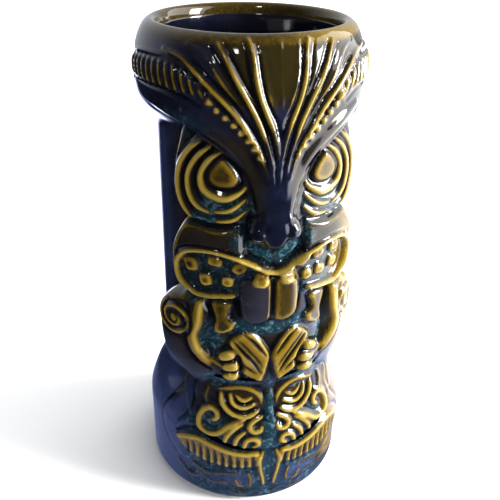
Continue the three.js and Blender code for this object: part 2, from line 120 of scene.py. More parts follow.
class Skin:
    """The clay skin as a relief: `lift` is how far it stands off the plain wall."""

    def __init__(self, step, softness):
        half_turn = math.pi * SHEET_RADIUS
        front = np.arange(-CARVED, CARVED + step / 2, step)
        behind = np.linspace(CARVED, half_turn, PLAIN_COLUMNS + 1)[1:]
        self.s = np.concatenate([-behind[::-1], front, behind])
        self.step = step
        wall = np.vstack([flowing(DRUM, step=0.25), flowing(COLLAR, step=0.25)])
        lip = flowing(LIP, step=0.25)
        start = np.linspace(DRUM[0][1], LIP[0][1], int((LIP[0][1] - DRUM[0][1]) / step))
        radius = np.interp(start, wall[:, 1], wall[:, 0])
        run = np.concatenate([[0], np.cumsum(np.hypot(*np.diff(lip, axis=0).T))])
        along = np.arange(step, run[-1], step)
        self.t = np.concatenate([start, LIP[0][1] + along])
        self.radius = np.concatenate([radius, np.interp(along, run, lip[:, 0])])
        self.height = np.concatenate([start, np.interp(along, run, lip[:, 1])])
        lean = np.arctan2(-np.gradient(self.radius), np.gradient(self.height))
        self.lean = lean * ease(self.t, LIP_START - 2, LIP_START + 2)
        shape = (len(self.t), len(self.s))
        self.lift = np.zeros(shape)
        self.thin = np.zeros(shape)  # where a tool or a ridge leaves the glaze thin
        # where the glaze gathers dark; the cup's lining uses the same attribute for painted shade
        self.pool = np.zeros(shape)
        self.teal = np.zeros(shape)
        self.brown = np.zeros(shape)
        self.lilac = np.zeros(shape)
        # calm also keeps the tongue's left lobe dull, as painted shade
        self.calm = np.zeros(shape)  # where the glaze stays thick over the edges
        self.halves = [Half(self, name, side) for name, side in SIDES]
        self.members = ["vessel"]
        self.label = np.zeros(shape, int)
        self.softness = softness

    # Where things are

    def window(self, points, margin):
        """The rows and columns that hold the points, with some margin."""
        low, high = points.min(axis=0) - margin, points.max(axis=0) + margin
        cols = slice(*np.searchsorted(self.s, (low[0], high[0])))
        rows = slice(*np.searchsorted(self.t, (low[1], high[1])))
        return rows, cols

    def offsets(self, points, where):
        """Distance from each point of the window to the nearest of the points, and which one."""
        s, t = np.meshgrid(self.s[where[1]], self.t[where[0]])
        best = np.full(s.shape, 1e9)
        nearest = np.zeros(s.shape, int)
        for i, (ps, pt) in enumerate(points):
            d = (s - ps) ** 2 + (t - pt) ** 2
            closer = d < best
            best[closer] = d[closer]
            nearest[closer] = i
        return np.sqrt(best), nearest

    def inside(self, outline, margin=0.0):
        """The window round an outline, and how deep inside it each point is (less than 0 outside)."""
        points = flowing(outline, closed=True, step=0.5)
        where = self.window(points, margin + 0.5)
        distance, _ = self.offsets(points, where)
        s, t = np.meshgrid(self.s[where[1]], self.t[where[0]])
        within = np.zeros(s.shape, bool)
        for (s0, t0), (s1, t1) in zip(points, np.roll(points, -1, axis=0)):
            if t0 != t1:
                crosses = (t0 > t) != (t1 > t)
                within ^= crosses & (s < (s1 - s0) * (t - t0) / (t1 - t0) + s0)
        return where, np.where(within, distance, -distance)

    # Tools

    def name(self, where, mask, member):
        """Says which member a part of the skin belongs to."""
        if member not in self.members:
            self.members.append(member)
        self.label[where][mask] = self.members.index(member)

    def claim(self, rows, member):
        """Gives a member all of the plain wall in some rows."""
        block = self.label[rows]
        block[block == 0] = self.members.index(member)
        self.label[rows] = block

    def member(self, name, outline, reach, edge=1.8, cut=False):
        """Raises the skin to a radius inside an outline, rounded over at its border."""
        where, depth = self.inside(outline)
        s, t = np.meshgrid(self.s[where[1]], self.t[where[0]])
        target = reach(s, t) if callable(reach) else reach
        target = target - self.radius[where[0]][:, None]
        x = np.clip(depth / edge, 0, 1)
        rounded = np.sqrt(1 - (1 - x) ** 2)
        old = self.lift[where]
        new = old + (target - old) * rounded
        if not cut:
            new = np.maximum(old, new)
        self.lift[where] = np.where(depth > 0, new, old)
        if name:
            self.name(where, depth > 0, name)

    def ridge(self, line, width, height, name=None, thin=1.0, taper=0.6, ends=2.5, flat=0.0, top=None):
        """A rounded rib along a line.

        A height below 0 cuts a groove, and a top raises the line to a radius. The rib narrows to taper of its
        width over the last millimetres (ends), flat is the level share of its width, and thin says how bare
        the glaze leaves its top.
        """
        points = flowing(line, step=0.3)
        where = self.window(points, width)
        distance, nearest = self.offsets(points, where)
        run = np.concatenate([[0], np.cumsum(np.hypot(*np.diff(points, axis=0).T))])
        from_end = np.minimum(run, run[-1] - run)[nearest]
        slim = taper + (1 - taper) * np.clip(from_end / ends, 0, 1)
        half = width * (0.57 if height >= 0 else 0.5) * slim
        x = np.clip(distance / half, 0, 1)
        bump = (1 - np.clip((x - flat) / (1 - flat), 0, 1) ** 2) ** 1.2
        if top:
            old = self.lift[where]
            target = top - self.radius[where[0]][:, None]
            self.lift[where] = np.maximum(old, old + (target - old) * bump)
        self.lift[where] += height * bump
        if height > 0 or top:
            self.thin[where] = np.maximum(self.thin[where], thin * ease(1 - x, -0.1, 0.95))
        else:
            self.pool[where] = np.maximum(self.pool[where], ease(1 - x, 0.0, 0.6))
            self.thin[where] *= 1 - ease(1 - x, 0.0, 0.7)
        if name:
            self.name(where, distance < half + 0.5, name)

    def knob(self, s, t, wide, high, proud, name=None, thin=1.0, tilt=0.0, square=2.0, heart=0.0):
        """A small pad or bead. Square above 2 makes it a rounded rectangle, heart darkens its middle."""
        where = self.window(np.array([[s, t]]), max(wide, high) + 1)
        ds, dt = np.meshgrid(self.s[where[1]] - s, self.t[where[0]] - t)
        c, n = math.cos(tilt), math.sin(tilt)
        u, v = (ds * c + dt * n) / wide, (dt * c - ds * n) / high
        x = (np.abs(u) ** square + np.abs(v) ** square) ** (1 / square)
        bump = np.sqrt(np.clip(1 - x**2.5, 0, 1))
        self.lift[where] += proud * bump
        shown = ease(1 - x, -0.1, 0.5) * (1 - heart * ease(1 - x, 0.3, 0.8))
        self.thin[where] = np.maximum(self.thin[where], thin * shown)
        self.calm[where] *= x > 1
        if name:
            self.name(where, x < 1.15, name)

    def tint(self, glaze, outline, amount=1.0, soft=2.0):
        """Lets one colour of glaze run over an outline, with a soft border."""
        where, depth = self.inside(outline, soft)
        field = getattr(self, glaze)[where]
        cover = ease(depth, -soft / 2, soft / 2)
        getattr(self, glaze)[where] = field * (1 - cover) + amount * cover

    def cover(self, glaze, amount):
        """At least this much of one colour of glaze, all over."""
        setattr(self, glaze, np.maximum(getattr(self, glaze), amount))

    def daub(self, glaze, s, t, wide, high, amount=1.0):
        """A round patch of one colour of glaze."""
        field = getattr(self, glaze)
        ds, dt = np.meshgrid((self.s - s) / wide, (self.t - t) / high)
        field[:] = np.maximum(field, amount * ease(1 - np.hypot(ds, dt), 0, 0.8))

    # Finishing

    def blurred(self, field, width):
        """A field softened over a width, round the mug and up it."""
        n = int(3 * width / self.step) + 1
        x = np.arange(-n, n + 1) * self.step
        weights = np.exp(-0.5 * (x / width) ** 2)
        weights /= weights.sum()
        out = np.zeros_like(field)
        padded = np.pad(field, ((n, n), (0, 0)), mode="edge")
        for k, w in enumerate(weights):
            out += w * padded[k:k + len(field)]
        padded = np.pad(out, ((0, 0), (n, n)), mode="wrap")
        out = np.zeros_like(field)
        for k, w in enumerate(weights):
            out += w * padded[:, k:k + field.shape[1]]
        return out

    def rounded_borders(self, rounds=8):
        """Slides the points on the members' borders along, so that borders run smooth and not in steps."""
        s = np.broadcast_to(self.s, self.label.shape).copy()
        t = np.broadcast_to(self.t[:, None], self.label.shape).copy()
        cell = self.label[:-1, :-1]
        across = np.zeros((len(self.t), len(self.s) - 1))
        across[1:-1] = cell[1:] != cell[:-1]
        along = np.zeros((len(self.t) - 1, len(self.s)))
        along[:, 1:-1] = cell[:, 1:] != cell[:, :-1]

        def gathered(a, b):
            total = np.zeros(self.label.shape)
            total[:, :-1] += across * a[:, 1:]
            total[:, 1:] += across * a[:, :-1]
            total[:-1] += along * b[1:]
            total[1:] += along * b[:-1]
            return total

        ones = np.ones(self.label.shape)
        count = gathered(ones, ones)
        movable = (count == 2) & (np.abs(self.s) < CARVED - 1)
        for _ in range(rounds):
            for field in (s, t):
                field[movable] = (0.5 * field + 0.25 * gathered(field, field))[movable]
        return s, t

    def finish(self):
        """Softens the relief as a thick glaze does and reads where the glaze runs off and gathers."""
        self.lift = self.blurred(self.lift, self.softness)
        below_lip = self.t < LIP_START
        surface = self.lift + np.where(below_lip, self.radius, self.radius[below_lip][-1])[:, None]
        fine = surface - self.blurred(surface, 1.5)
        self.thin = np.clip(self.blurred(self.thin, 0.35) + ease(fine, 0.05, 0.75) * 0.42, 0,
                            1) * (1 - self.calm)
        self.pool = np.clip(self.blurred(self.pool, 0.35) * 0.9 + ease(-fine, 0.08, 0.5), 0, 1)
        glow = self.blurred(self.thin, 1.3) * (1 - self.pool)
        self.thin = np.maximum(self.thin, 0.55 * glow)
        s, t = self.rounded_borders()
        slope_t, slope_s = np.gradient(self.lift, self.t, self.s)
        lift = self.lift + slope_t * (t - self.t[:, None]) + slope_s * (s - self.s)
        turn = s / SHEET_RADIUS
        lean = np.interp(t, self.t, self.lean)
        r = np.interp(t, self.t, self.radius) + lift * np.cos(lean)
        z = np.interp(t, self.t, self.height) + lift * np.sin(lean)
        place = np.stack([r * np.sin(turn), -r * np.cos(turn), z], axis=-1) * MM
        round_way = np.empty_like(place)
        round_way[:, 1:-1] = place[:, 2:] - place[:, :-2]
        round_way[:, 0] = round_way[:, -1] = place[:, 1] - place[:, -2]
        up = np.gradient(place, axis=0)
        normal = np.cross(round_way, up)
        normal /= np.linalg.norm(normal, axis=-1, keepdims=True)
        self.place, self.normal = place, normal
        self.glaze = np.stack([self.thin, self.teal, self.brown, self.lilac], axis=-1)


class Half:
    """One half of the skin. What is drawn on it is drawn as for the right, and mirrored for the left."""

    def __init__(self, skin, name, side):
        self.skin = skin
        self.name = name
        self.side = side

    def mirrored(self, points):
        return [(self.side * s, t) for s, t in points]

    def inside(self, outline):
        return self.skin.inside(self.mirrored(outline))

    def member(self, name, outline, reach, edge=1.8):
        self.skin.member(name, self.mirrored(outline), reach, edge)

    def ridge(self, line, *args, **more):
        self.skin.ridge(self.mirrored(line), *args, **more)

    def knob(self, s, t, *args, tilt=0.0, **more):
        self.skin.knob(self.side * s, t, *args, tilt=-self.side * tilt, **more)

    def tint(self, glaze, outline, amount, soft):
        self.skin.tint(glaze, self.mirrored(outline), amount, soft)

    def daub(self, glaze, s, t, wide, high, amount):
        self.skin.daub(glaze, self.side * s, t, wide, high, amount)


# ---- the carving ---------------------------------------------------------------------------------

BROW_EDGE = [
    (46, 174.8), (40, 173.2), (33.5, 171.6), (28.5, 169.2), (23.6, 166.4), (18.8, 163.2), (14.3, 159),
    (11.6, 154), (9.9, 149), (9.0, 143.8), (8.6, 139.4),
]
MOUTH_EDGE = [
    (0, 118), (4, 119.1), (7.3, 121.2), (10.7, 123.1), (15, 124.9), (20, 126.1), (25, 126.1), (30, 124.8),
    (33.2, 122.2), (35.2, 117.6), (34.5, 113.2), (32, 109.7), (28.6, 107.6), (24.5, 107), (19.8, 107.6),
    (15, 108.2), (13.4, 108.6),
]


def spiral(s, t, start, pitch, turns, from_angle):
    """Points of a coil that opens anticlockwise from its centre, eight to a turn."""
    points = []
    for k in range(int(turns * 8) + 1):
        angle = from_angle + 2 * math.pi * k / 8
        r = start + pitch * k / 8
        points.append((s + r * math.cos(angle), t + r * math.sin(angle)))
    return points


def carve_ground(skin):
    """The low ground that the face and the figure stand on, just proud of the wall."""
    ground = both_halves([
        (0, 172), (20, 170), (33, 166), (36, 150), (33, 137), (36, 120), (34, 105), (30, 90), (30, 75),
        (24, 64), (0, 62),
    ])
    skin.member(None, ground, GROUND, edge=4)


def carve_headdress(skin):
    """The collar's brow plate that runs down between the eyes, its ribs and its beads."""
    plate = both_halves([(0, 194), (30, 194), (50, 190), (58, 182), (52, 176)] + BROW_EDGE + [(4.5, 137),
        (0, 136.6)])

    def reach(s, t):
        trunk = 43.4 + 0.8 * ease(t, 184, 165) - 0.6 * ease(t, 150, 137)
        trunk = trunk - 2.6 * ease(np.abs(s), 2.2, 8.8) * ease(t, 172, 156)
        side = np.maximum(ease(np.abs(s), 30, 56), ease(t, 177, 191))
        collar = np.interp(t, skin.t, skin.radius)
        return np.maximum(trunk * (1 - side) + collar * side, collar)

    skin.member("headdress", plate, reach, edge=3.2)
    skin.claim(skin.t > 168.6, "headdress")
    for half in skin.halves:
        # the brow's lower edge, the fold above it and the hollow between them
        edge = [(s - 1.3, t + 1.0) for s, t in BROW_EDGE[1:]]
        half.ridge(edge, 2.2, 0.4, thin=0.3, ends=6)
        fold = [(30, 176), (23, 172.6), (16.5, 167.6), (11.4, 161.4), (7.8, 154.6), (5.6, 147), (4.2, 140)]
        half.ridge(fold, 4.6, 0.7, thin=0.12, ends=12)
        gully = [(30, 172.6), (22, 168.4), (15.6, 163.4), (11, 157), (8.2, 150), (6.8, 143)]
        half.ridge(gully, 2.0, -0.6, ends=9)
        # the plumes' ribs, then the grooves between them
        panel_border = [(6.6, 198.6), (6, 193), (5.2, 188), (4.1, 183.6), (2.7, 179.5), (1.3, 177),
                        (0.2, 176.2)]
        inner = [(10.3, 199.6), (8.9, 196), (8, 191.5), (7.1, 186.5), (5.9, 181.5), (4.4, 177), (2.7, 172),
                 (1.4, 167), (0.7, 162)]
        outer = [(20.2, 198), (18, 195), (15.5, 191), (13.8, 188), (11.8, 184.5), (9.6, 180.5),
                 (7.5, 176.6), (5.4, 171.6), (3.4, 165), (2, 158.6)]
        third = [(31, 197), (24.6, 194.6), (20.4, 190), (16.6, 184.8), (13, 180.2), (10, 175.6)]
        rim = [(40, 194.4), (31.5, 192.4), (26.4, 189), (23, 186), (20, 183.2), (17, 180.3), (14, 177),
               (11.2, 173), (9.2, 169.8), (6.6, 165.2), (4.8, 160), (3.6, 154.6)]
        half.ridge(inner, 2.1, 1.1, f"inner_plume_{half.name}", taper=0.5, ends=10)
        half.ridge(outer, 2.2, 1.15, f"outer_plume_{half.name}", taper=0.4, ends=16)
        half.ridge(third, 1.5, 0.7, f"outer_plume_{half.name}", taper=0.4, ends=14, thin=0.7)
        half.ridge(rim, 1.8, 1.0, f"edge_plume_{half.name}", taper=0.4, ends=10)
        for line, width in (
            ([(7.6, 199), (6.8, 193), (6.4, 189), (5.4, 184), (4.4, 180.4), (3, 177.2), (1.5, 174),
              (0.5, 169)], 1.6),
            ([(12.4, 198.8), (10.6, 194), (9.4, 188), (7.8, 182.6), (5.9, 177.6), (4.3, 173.4),
              (2.6, 168), (1.3, 161)], 1.4),
            ([(18.4, 198.4), (15.8, 194.6), (13.2, 190), (11, 186), (8.9, 181.8), (6.8, 177.4), (5, 173),
              (3.2, 166.6), (1.7, 160), (0.8, 153)], 1.7),
            ([(22.6, 197), (19.6, 193.6), (16.4, 189), (13.6, 184.6), (11.2, 180.6), (9.2, 176.8),
              (6.9, 171.4)], 1.4),
            ([(28, 192.4), (22, 187.8), (18.4, 184.4), (15, 181.2), (12, 177.6), (9.8, 173.8),
              (7.6, 169.6), (5, 163.4), (3.2, 157)], 1.7),
            ([(34, 190.4), (27, 187), (22.6, 183), (19, 179.8), (15.6, 176.6), (12.6, 173), (10.2, 169.2),
              (7.6, 165)], 1.3),
        ):
            half.ridge(line, width, -0.9, ends=12, taper=0.4)
        # beads, then the bars that carry the band on round the collar
        band = f"bead_band_{half.name}"
        for s, t in (
            (22, 180), (19.25, 177.75), (16.6, 175.6), (14.2, 173.3), (11.95, 170.9), (9.85, 168.3),
            (8, 165.4), (6.15, 162.4),
        ):
            half.knob(s, t, 1.25, 1.2, 0.95, band)
        for k in range(13):
            s = 21 + 3.05 * k
            top = np.interp(s, (20.5, 23.5, 26, 29.5, 32, 40, 50, 58),
                            (182, 185, 186.5, 188, 188.8, 189.6, 189.4, 188.6))
            tall = np.interp(s, (20, 26, 32, 46, 58), (2.6, 4.4, 6, 6, 4.4))
            bar = [(s - 0.7, top - tall), (s + 0.2, top - tall / 2), (s + 0.8, top)]
            # painted shade and light: the bars' tops are painted duller on the shaded left and brighter on
            # the lit right
            half.ridge(bar, 2.3, 1.1, band, taper=0.8, ends=1.2, flat=0.2,
                       thin=0.85 if half.side > 0 else 0.4)
            gap = [(s + 0.8, top - tall), (s + 1.7, top - tall / 2), (s + 2.3, top)]
            half.ridge(gap, 0.9, -0.5, ends=1, taper=0.7)
        tail = [(36, 192.6), (46, 192.4), (54, 191.8), (60, 190.6)]
        half.ridge(tail, 1.6, 0.6, f"edge_plume_{half.name}", taper=0.3, ends=8, thin=0.6)
        under = [(24, 178), (30, 180.6), (38, 182), (48, 182.2), (58, 182)]
        half.ridge(under, 1.8, -0.5, ends=8)
        # the smooth panel in the middle
        where, depth = half.inside([(0, 198.6)] + panel_border[:-1] + [(0, 176)])
        skin.name(where, depth > 0, "centre_plume")
        skin.lift[where] += -0.3 * ease(depth, 0.2, 1.2)
        half.ridge(panel_border[2:], 1.3, 0.6, "centre_plume", taper=0.1, ends=9, thin=0.9)


def carve_eyes(skin):
    """The bosses of the eyes with their rings, under the brow."""
    boss = [
        (33.4, 170), (36, 163.4), (37.8, 156), (38, 149), (36.2, 142.6), (33.2, 138), (28, 136.2),
        (20, 135.8), (11, 137.2), (8, 140), (8, 148), (10, 155), (16, 162), (24, 168),
    ]
    pupil = [(17.8, 161.4), (20.6, 159), (22.8, 155), (21.4, 151.8), (17.6, 150.8), (13.8, 151.8),
             (12.8, 154.6), (15, 158.8)]
    rings = [
        ([(18.6, 163.2), (22.6, 160), (25, 154.8), (24.4, 150.2), (21, 147.6), (16.6, 147), (12.4, 149),
          (10.4, 151.4)], 3.6),
        ([(21.6, 165.4), (26.4, 161.2), (29.8, 155), (29.8, 148.2), (27.2, 143.4), (22.6, 141.1)], 2.8),
        ([(20.8, 141.6), (15.6, 142.6), (10, 147)], 2.4),
        ([(24.6, 167.2), (29.6, 163), (33.2, 157), (34.3, 150), (33.6, 144), (31.4, 139.6),
          (28.4, 136.6)], 2.8),
        ([(20.4, 137.7), (14.6, 138.8), (9.8, 142.6)], 2.2),
    ]
    for half in skin.halves:
        def reach(s, t, side=half.side):
            s = s * side
            return 42.4 - 0.0016 * (s - 27) ** 2 - 0.004 * (t - 150) ** 2 - 0.9 * ease(s, 18, 8)

        half.member(f"eye_{half.name}", boss, reach, edge=3.2)
        for line, width in rings:
            half.ridge(line, width, 1.15, taper=0.35, ends=5)
        for line in (
            [(20.6, 164.4), (25, 160.2), (27.6, 154.8), (27.4, 149), (24.8, 145), (20.6, 143.9),
             (15.6, 144.8), (10.6, 149)],
            [(23.4, 166.4), (28.2, 162.2), (31.6, 155.8), (32.1, 149), (30.4, 142.8), (26.6, 139.4),
             (20.6, 139.6), (15.2, 140.6)],
            [(27.6, 168.2), (32.4, 163), (35.6, 156), (36.4, 149), (34.6, 142.4), (31, 137.8)],
        ):
            half.ridge(line, 1.6, -1.0, ends=7)
        # the pupil: a drop with an amber border, set off by a groove
        where, depth = half.inside(pupil)
        half.member(f"pupil_{half.name}", pupil, 42.8, edge=1.4)
        drop = 0.56 * ease(depth, 0, 0.8) - 0.14 * ease(depth, 1.4, 3.2)
        skin.thin[where] = np.maximum(skin.thin[where], drop)
        half.tint("brown", pupil, 1.0, 1.4)
        loop = [(s + (s - 17.8) * 0.2, t + (t - 155) * 0.2) for s, t in pupil + pupil[:1]]
        half.ridge(loop, 1.2, -0.9, ends=1)


def carve_cheeks_and_nose(skin):
    """The cheek folds that wrap the ends of the mouth, and the nose."""
    cheek = [
        (11.4, 137), (22, 136), (31.6, 137.6), (35.6, 133), (38.2, 125), (39, 117.4), (37.4, 110.8),
        (35, 107.2), (33, 108.6), (20, 112), (12, 118), (10, 126),
    ]
    nose = both_halves([
        (0, 148), (3.4, 146), (5.6, 142), (8.6, 138), (9.8, 133.6), (8, 130.8), (4.8, 130.4), (2.8, 128),
        (0, 127),
    ])
    for half in skin.halves:
        def reach(s, t, side=half.side):
            s = s * side
            return 44.4 - 0.011 * (t - 122) ** 2 * ease(t, 118, 132) - 1.0 * ease(s, 22, 10)

        half.member(f"cheek_{half.name}", cheek, reach, edge=3.0)
        half.ridge([(12.4, 136.6), (20, 135.6), (27, 136.4), (33, 138)], 2.2, -1.2, ends=4)
        fold = [(12.6, 133.6), (20, 133.6), (28, 134.8), (32.8, 133), (35.4, 127), (36.6, 118)]
        half.ridge(fold, 2.4, 0.4, thin=0.2, ends=6)
        half.ridge([(11, 137), (11.2, 131), (10.6, 126.4), (7, 123.4), (3, 121.6)], 2.6, -1.2, ends=3)

    skin.member("nose", nose, lambda s, t: 45.4 - 0.02 * s**2 - 0.02 * (t - 134) ** 2, edge=3.2)
    for half in skin.halves:
        half.knob(6.6, 133.8, 3.2, 3.0, 1.0, thin=0)
        half.ridge([(3.4, 138), (4, 134), (3.2, 130)], 1.4, -0.6, ends=2)
        wing = [(8.8, 131.8), (7, 130.3), (5, 130.6), (3.6, 129), (1.6, 127.6)]
        half.ridge(wing, 1.5, 0.6, thin=0.95, ends=2)
        lip_top = [(1, 127), (5, 129.6), (9.4, 131), (10.6, 126), (7.4, 122.6), (1, 120.4)]
        half.tint("teal", lip_top, 1.0, 2.0)
    skin.tint("calm", nose, 0.8, 1.0)
    skin.tint("pool", nose, 0.75, 1.5)


def carve_mouth(skin):
    """The wide mouth with its teeth, the tongue, and the jaws below it."""
    mouth = both_halves(MOUTH_EDGE + [(12.4, 106), (0, 106)])
    skin.member("mouth", mouth, 41.8, edge=1.4, cut=True)
    skin.tint("teal", mouth, 0.7, 2.0)
    skin.tint("pool", mouth, 0.85, 1.0)
    for half in skin.halves:
        half.ridge(MOUTH_EDGE, 2.2, 0, "mouth", taper=0.8, ends=2, top=45.0)
        around = [(s * 1.05, t + (1.8 if t > 115 else -1.8)) for s, t in MOUTH_EDGE[1:-3]]
        half.ridge(around, 1.8, -0.8, ends=3)
    # each tooth is (s, t, width, height, tilt); the first stands over the tongue
    teeth = {
        "left": [
            (4.8, 115.9, 2.6, 2.4, -0.35), (12.1, 119.7, 2.6, 2.4, -0.45), (20.6, 122, 2.8, 2.0, -0.1),
            (29.8, 119.1, 3.0, 3.0, 0.2), (24.2, 113.8, 2.6, 2.6, 0.2), (16.2, 114.1, 2.2, 2.2, 0.1),
        ],
        "right": [
            (4.4, 117, 2.8, 2.6, -0.35), (10.2, 121.1, 2.5, 2.3, -0.4), (17.3, 122.3, 2.7, 2.0, -0.1),
            (26, 122.1, 2.9, 2.2, 0.2), (12.6, 114.7, 2.2, 2.3, 0), (18.4, 115, 2.5, 2.3, 0.2),
            (25.4, 115.8, 2.6, 2.4, 0.3),
        ],
    }
    full = 1.12  # a tooth's rounded foot spreads beyond its flat face

    def set_teeth(first, last):
        for half in skin.halves:
            for s, t, wide, high, tilt in teeth[half.name][first:last]:
                half.knob(s, t, wide * full, high * full, 1.7, "mouth", tilt=tilt, square=3.2, heart=0.85)

    set_teeth(1, None)
    tongue = [
        (-0.7, 116.4), (1.8, 117.2), (7.6, 115.2), (9.1, 112), (9.5, 104), (8.7, 99.4), (5.6, 96.8),
        (2, 96.4), (-0.7, 97.4), (-3.6, 95.8), (-7.6, 95.8), (-10.8, 98), (-12.1, 103), (-12, 111),
        (-10.6, 115), (-3.4, 117.2),
    ]
    skin.tint("pool", tongue, 0.0, 1.0)
    skin.tint("teal", tongue, 0.0, 1.0)
    skin.member(
        "tongue", tongue,
        lambda s, t: 44.9 - 0.04 * (np.abs(s + 0.9) - 5.4) ** 2 - 0.02 * np.clip(104 - t, 0, None) ** 2,
        edge=1.8, cut=True,
    )
    skin.ridge([(-0.7, 116.8), (-0.7, 108), (-0.7, 96.6)], 1.1, -1.5, ends=1)
    # the tongue's two lobes: the left one painted dull as painted shade, the right one painted amber as
    # painted light
    for inner, outer, lit_amber, shade_calm in ((-2.2, -12.6, 0.1, 0.8), (1.2, 9.9, 0.5, 0.3)):
        skin.ridge([(inner, 115.6), (inner, 108), (inner, 101), (inner * 1.3, 98.4)], 1.9, 0.2, thin=1.0,
                   ends=2)
        rest = [(inner * 1.5, 118), (outer, 117), (outer, 103), (outer * 0.86, 95), (inner * 1.5, 94)]
        skin.tint("lilac", rest, 0.12, 2.0)
        skin.tint("brown", rest, 0.8, 2.0)
        skin.tint("thin", rest, lit_amber, 3.0)
        skin.tint("calm", rest, shade_calm, 1.4)
        ditch = [(outer, 112), (outer * 1.03, 104), (outer * 0.92, 98), (outer * 0.64, 94.6),
                 (outer * 0.1, 94.6)]
        skin.ridge(ditch, 2.2, -0.9, ends=2)
    set_teeth(0, 1)
    jaw = [
        (22.8, 104.4), (15.2, 104.6), (15.6, 100.4), (15.8, 97.6), (13.4, 95.2), (14.6, 91.6),
        (19.4, 89.4), (22, 91.4), (21.4, 97),
    ]
    for half in skin.halves:
        half.member(f"jaw_{half.name}", jaw, lambda s, t: 42.8 - 0.01 * (t - 98) ** 2, edge=1.8)
        half.tint("brown", jaw, 1.0, 1.6)
        half.tint("thin", jaw, 0.33, 1.6)
        foot = [(20.8, 94.6), (20.6, 91.8), (18.4, 91), (15.4, 93.2), (14.6, 95.4)]
        half.ridge(foot, 1.4, 0.35, thin=0.8, ends=3)


def carve_arms(skin):
    """The arms, coiled at the shoulder, with hands held below the mouth."""
    mass = [
        (25.6, 105.4), (30, 107), (36, 106), (41.6, 103.8), (46, 98.6), (48.2, 91), (48, 83), (46, 76),
        (41.6, 69.8), (35.4, 65.2), (28.6, 62.4), (23.4, 66), (21.2, 71), (22.6, 76), (25.4, 82),
        (24.4, 87), (23.2, 93), (23, 99),
    ]
    limb = [(26, 104.8), (26.8, 100), (27.4, 95), (28.6, 91), (29, 88), (28, 82.6), (25, 78), (21, 75.4),
            (17.5, 73.6)]
    for half in skin.halves:
        def reach(s, t, side=half.side):
            s = s * side
            round_way = 1.2 * ease(s, 34, 24) + 1.4 * ease(s, 42, 48)
            return 45.0 - 0.003 * (t - 90) ** 2 - 1.6 * ease(t, 76, 62) - round_way

        half.member(f"arm_{half.name}", mass, reach, edge=3.4)
        half.ridge(limb, 5.6, 1.5, thin=0.35, taper=0.6, ends=4)
        half.ridge([(s - 0.8, t) for s, t in limb], 1.8, 0.25, thin=0.9, taper=0.5, ends=5)
        for flank in (
            [(31.4, 103), (30.6, 98), (31, 93), (32.4, 88), (31.2, 81.4), (27.6, 75.6), (22.6, 72)],
            [(23.6, 98), (24.4, 93), (25.8, 88), (25, 83), (22.4, 79), (19.8, 78)],
        ):
            half.ridge(flank, 2.0, -1.1, ends=4)
        # the shoulder's coil
        half.ridge(spiral(36.8, 94, 2.4, 3.3, 1.75, 2.6), 1.9, 0.85, thin=0.7, taper=0.6,
                   ends=5)
        half.ridge(spiral(36.8, 94, 4.1, 3.3, 1.5, 2.6), 1.7, -0.8, ends=4)
        half.knob(36.8, 93.8, 1.9, 2.2, 0.6, thin=0.7)
        half.ridge([(44.2, 74.2), (40, 70), (34, 66.2), (28, 63.4)], 1.8, 0.35, thin=0.3, ends=4)
        # a palm with three fingers
        hand = f"hand_{half.name}"
        palm = [(22, 77.6), (19.4, 81.8), (15, 83), (12.8, 80), (12, 75), (12, 70.6), (14, 67.8),
                (18.2, 68.4), (22.4, 72)]
        half.member(hand, palm, 42.4, edge=1.8)
        for s, t, tilt in ((16.5, 80.2, 0.5), (15, 74.9, 0.1), (14.8, 70, -0.2)):
            half.knob(s, t, 3.6, 2.4, 1.6, hand, tilt=tilt, square=2.6, heart=0.45)
        for line in (
            [(11.8, 79), (15.6, 77.6), (19.6, 77)], [(11.6, 72.6), (15, 72.4), (18.8, 72.2)],
            [(12.6, 83), (11.6, 78), (11, 72), (12, 67.4)],
        ):
            half.ridge(line, 1.2, -1.1, ends=1.5)


def carve_crest(skin):
    """The two leaf fans over the lower head, and the stem between them."""
    leaf = [
        (0.4, 80), (2.4, 84.6), (4.8, 88.4), (8.4, 91), (12, 90.2), (15.4, 87.4), (15.8, 84.8), (13, 81),
        (11.4, 77.6), (10.4, 73.8), (11.4, 72.2), (9.8, 70.2), (6.8, 68.2), (3.8, 66.4), (2.8, 67.6),
        (1.6, 72), (0.7, 76.4),
    ]
    wedge = both_halves([(0, 80.4), (0.8, 78), (2, 72), (3, 67), (2.2, 63), (0, 62.6)])
    skin.member("crest_stem", wedge, GROUND, edge=1.0)
    for half in skin.halves:
        half.member(f"crest_leaf_{half.name}", leaf, lambda s, t: 42.8 - 0.004 * (t - 80) ** 2, edge=1.4)
        half.tint("thin", leaf, 0.6, 1.0)
        for line in (
            [(10.4, 90.4), (7.2, 87.6), (4, 83.2), (1.6, 79.6)],
            [(14.4, 87.6), (10, 81.6), (6.5, 76.6), (3.4, 71)],
            [(10.6, 76), (8, 73.6), (5.6, 71.4)],
        ):
            half.ridge(line, 1.7, -1.3, taper=0.3, ends=6)
        half.ridge([(13, 88.6), (8.6, 83.4), (4.6, 77.6), (2.6, 73.6)], 0.9, -0.5, taper=0.4, ends=4)


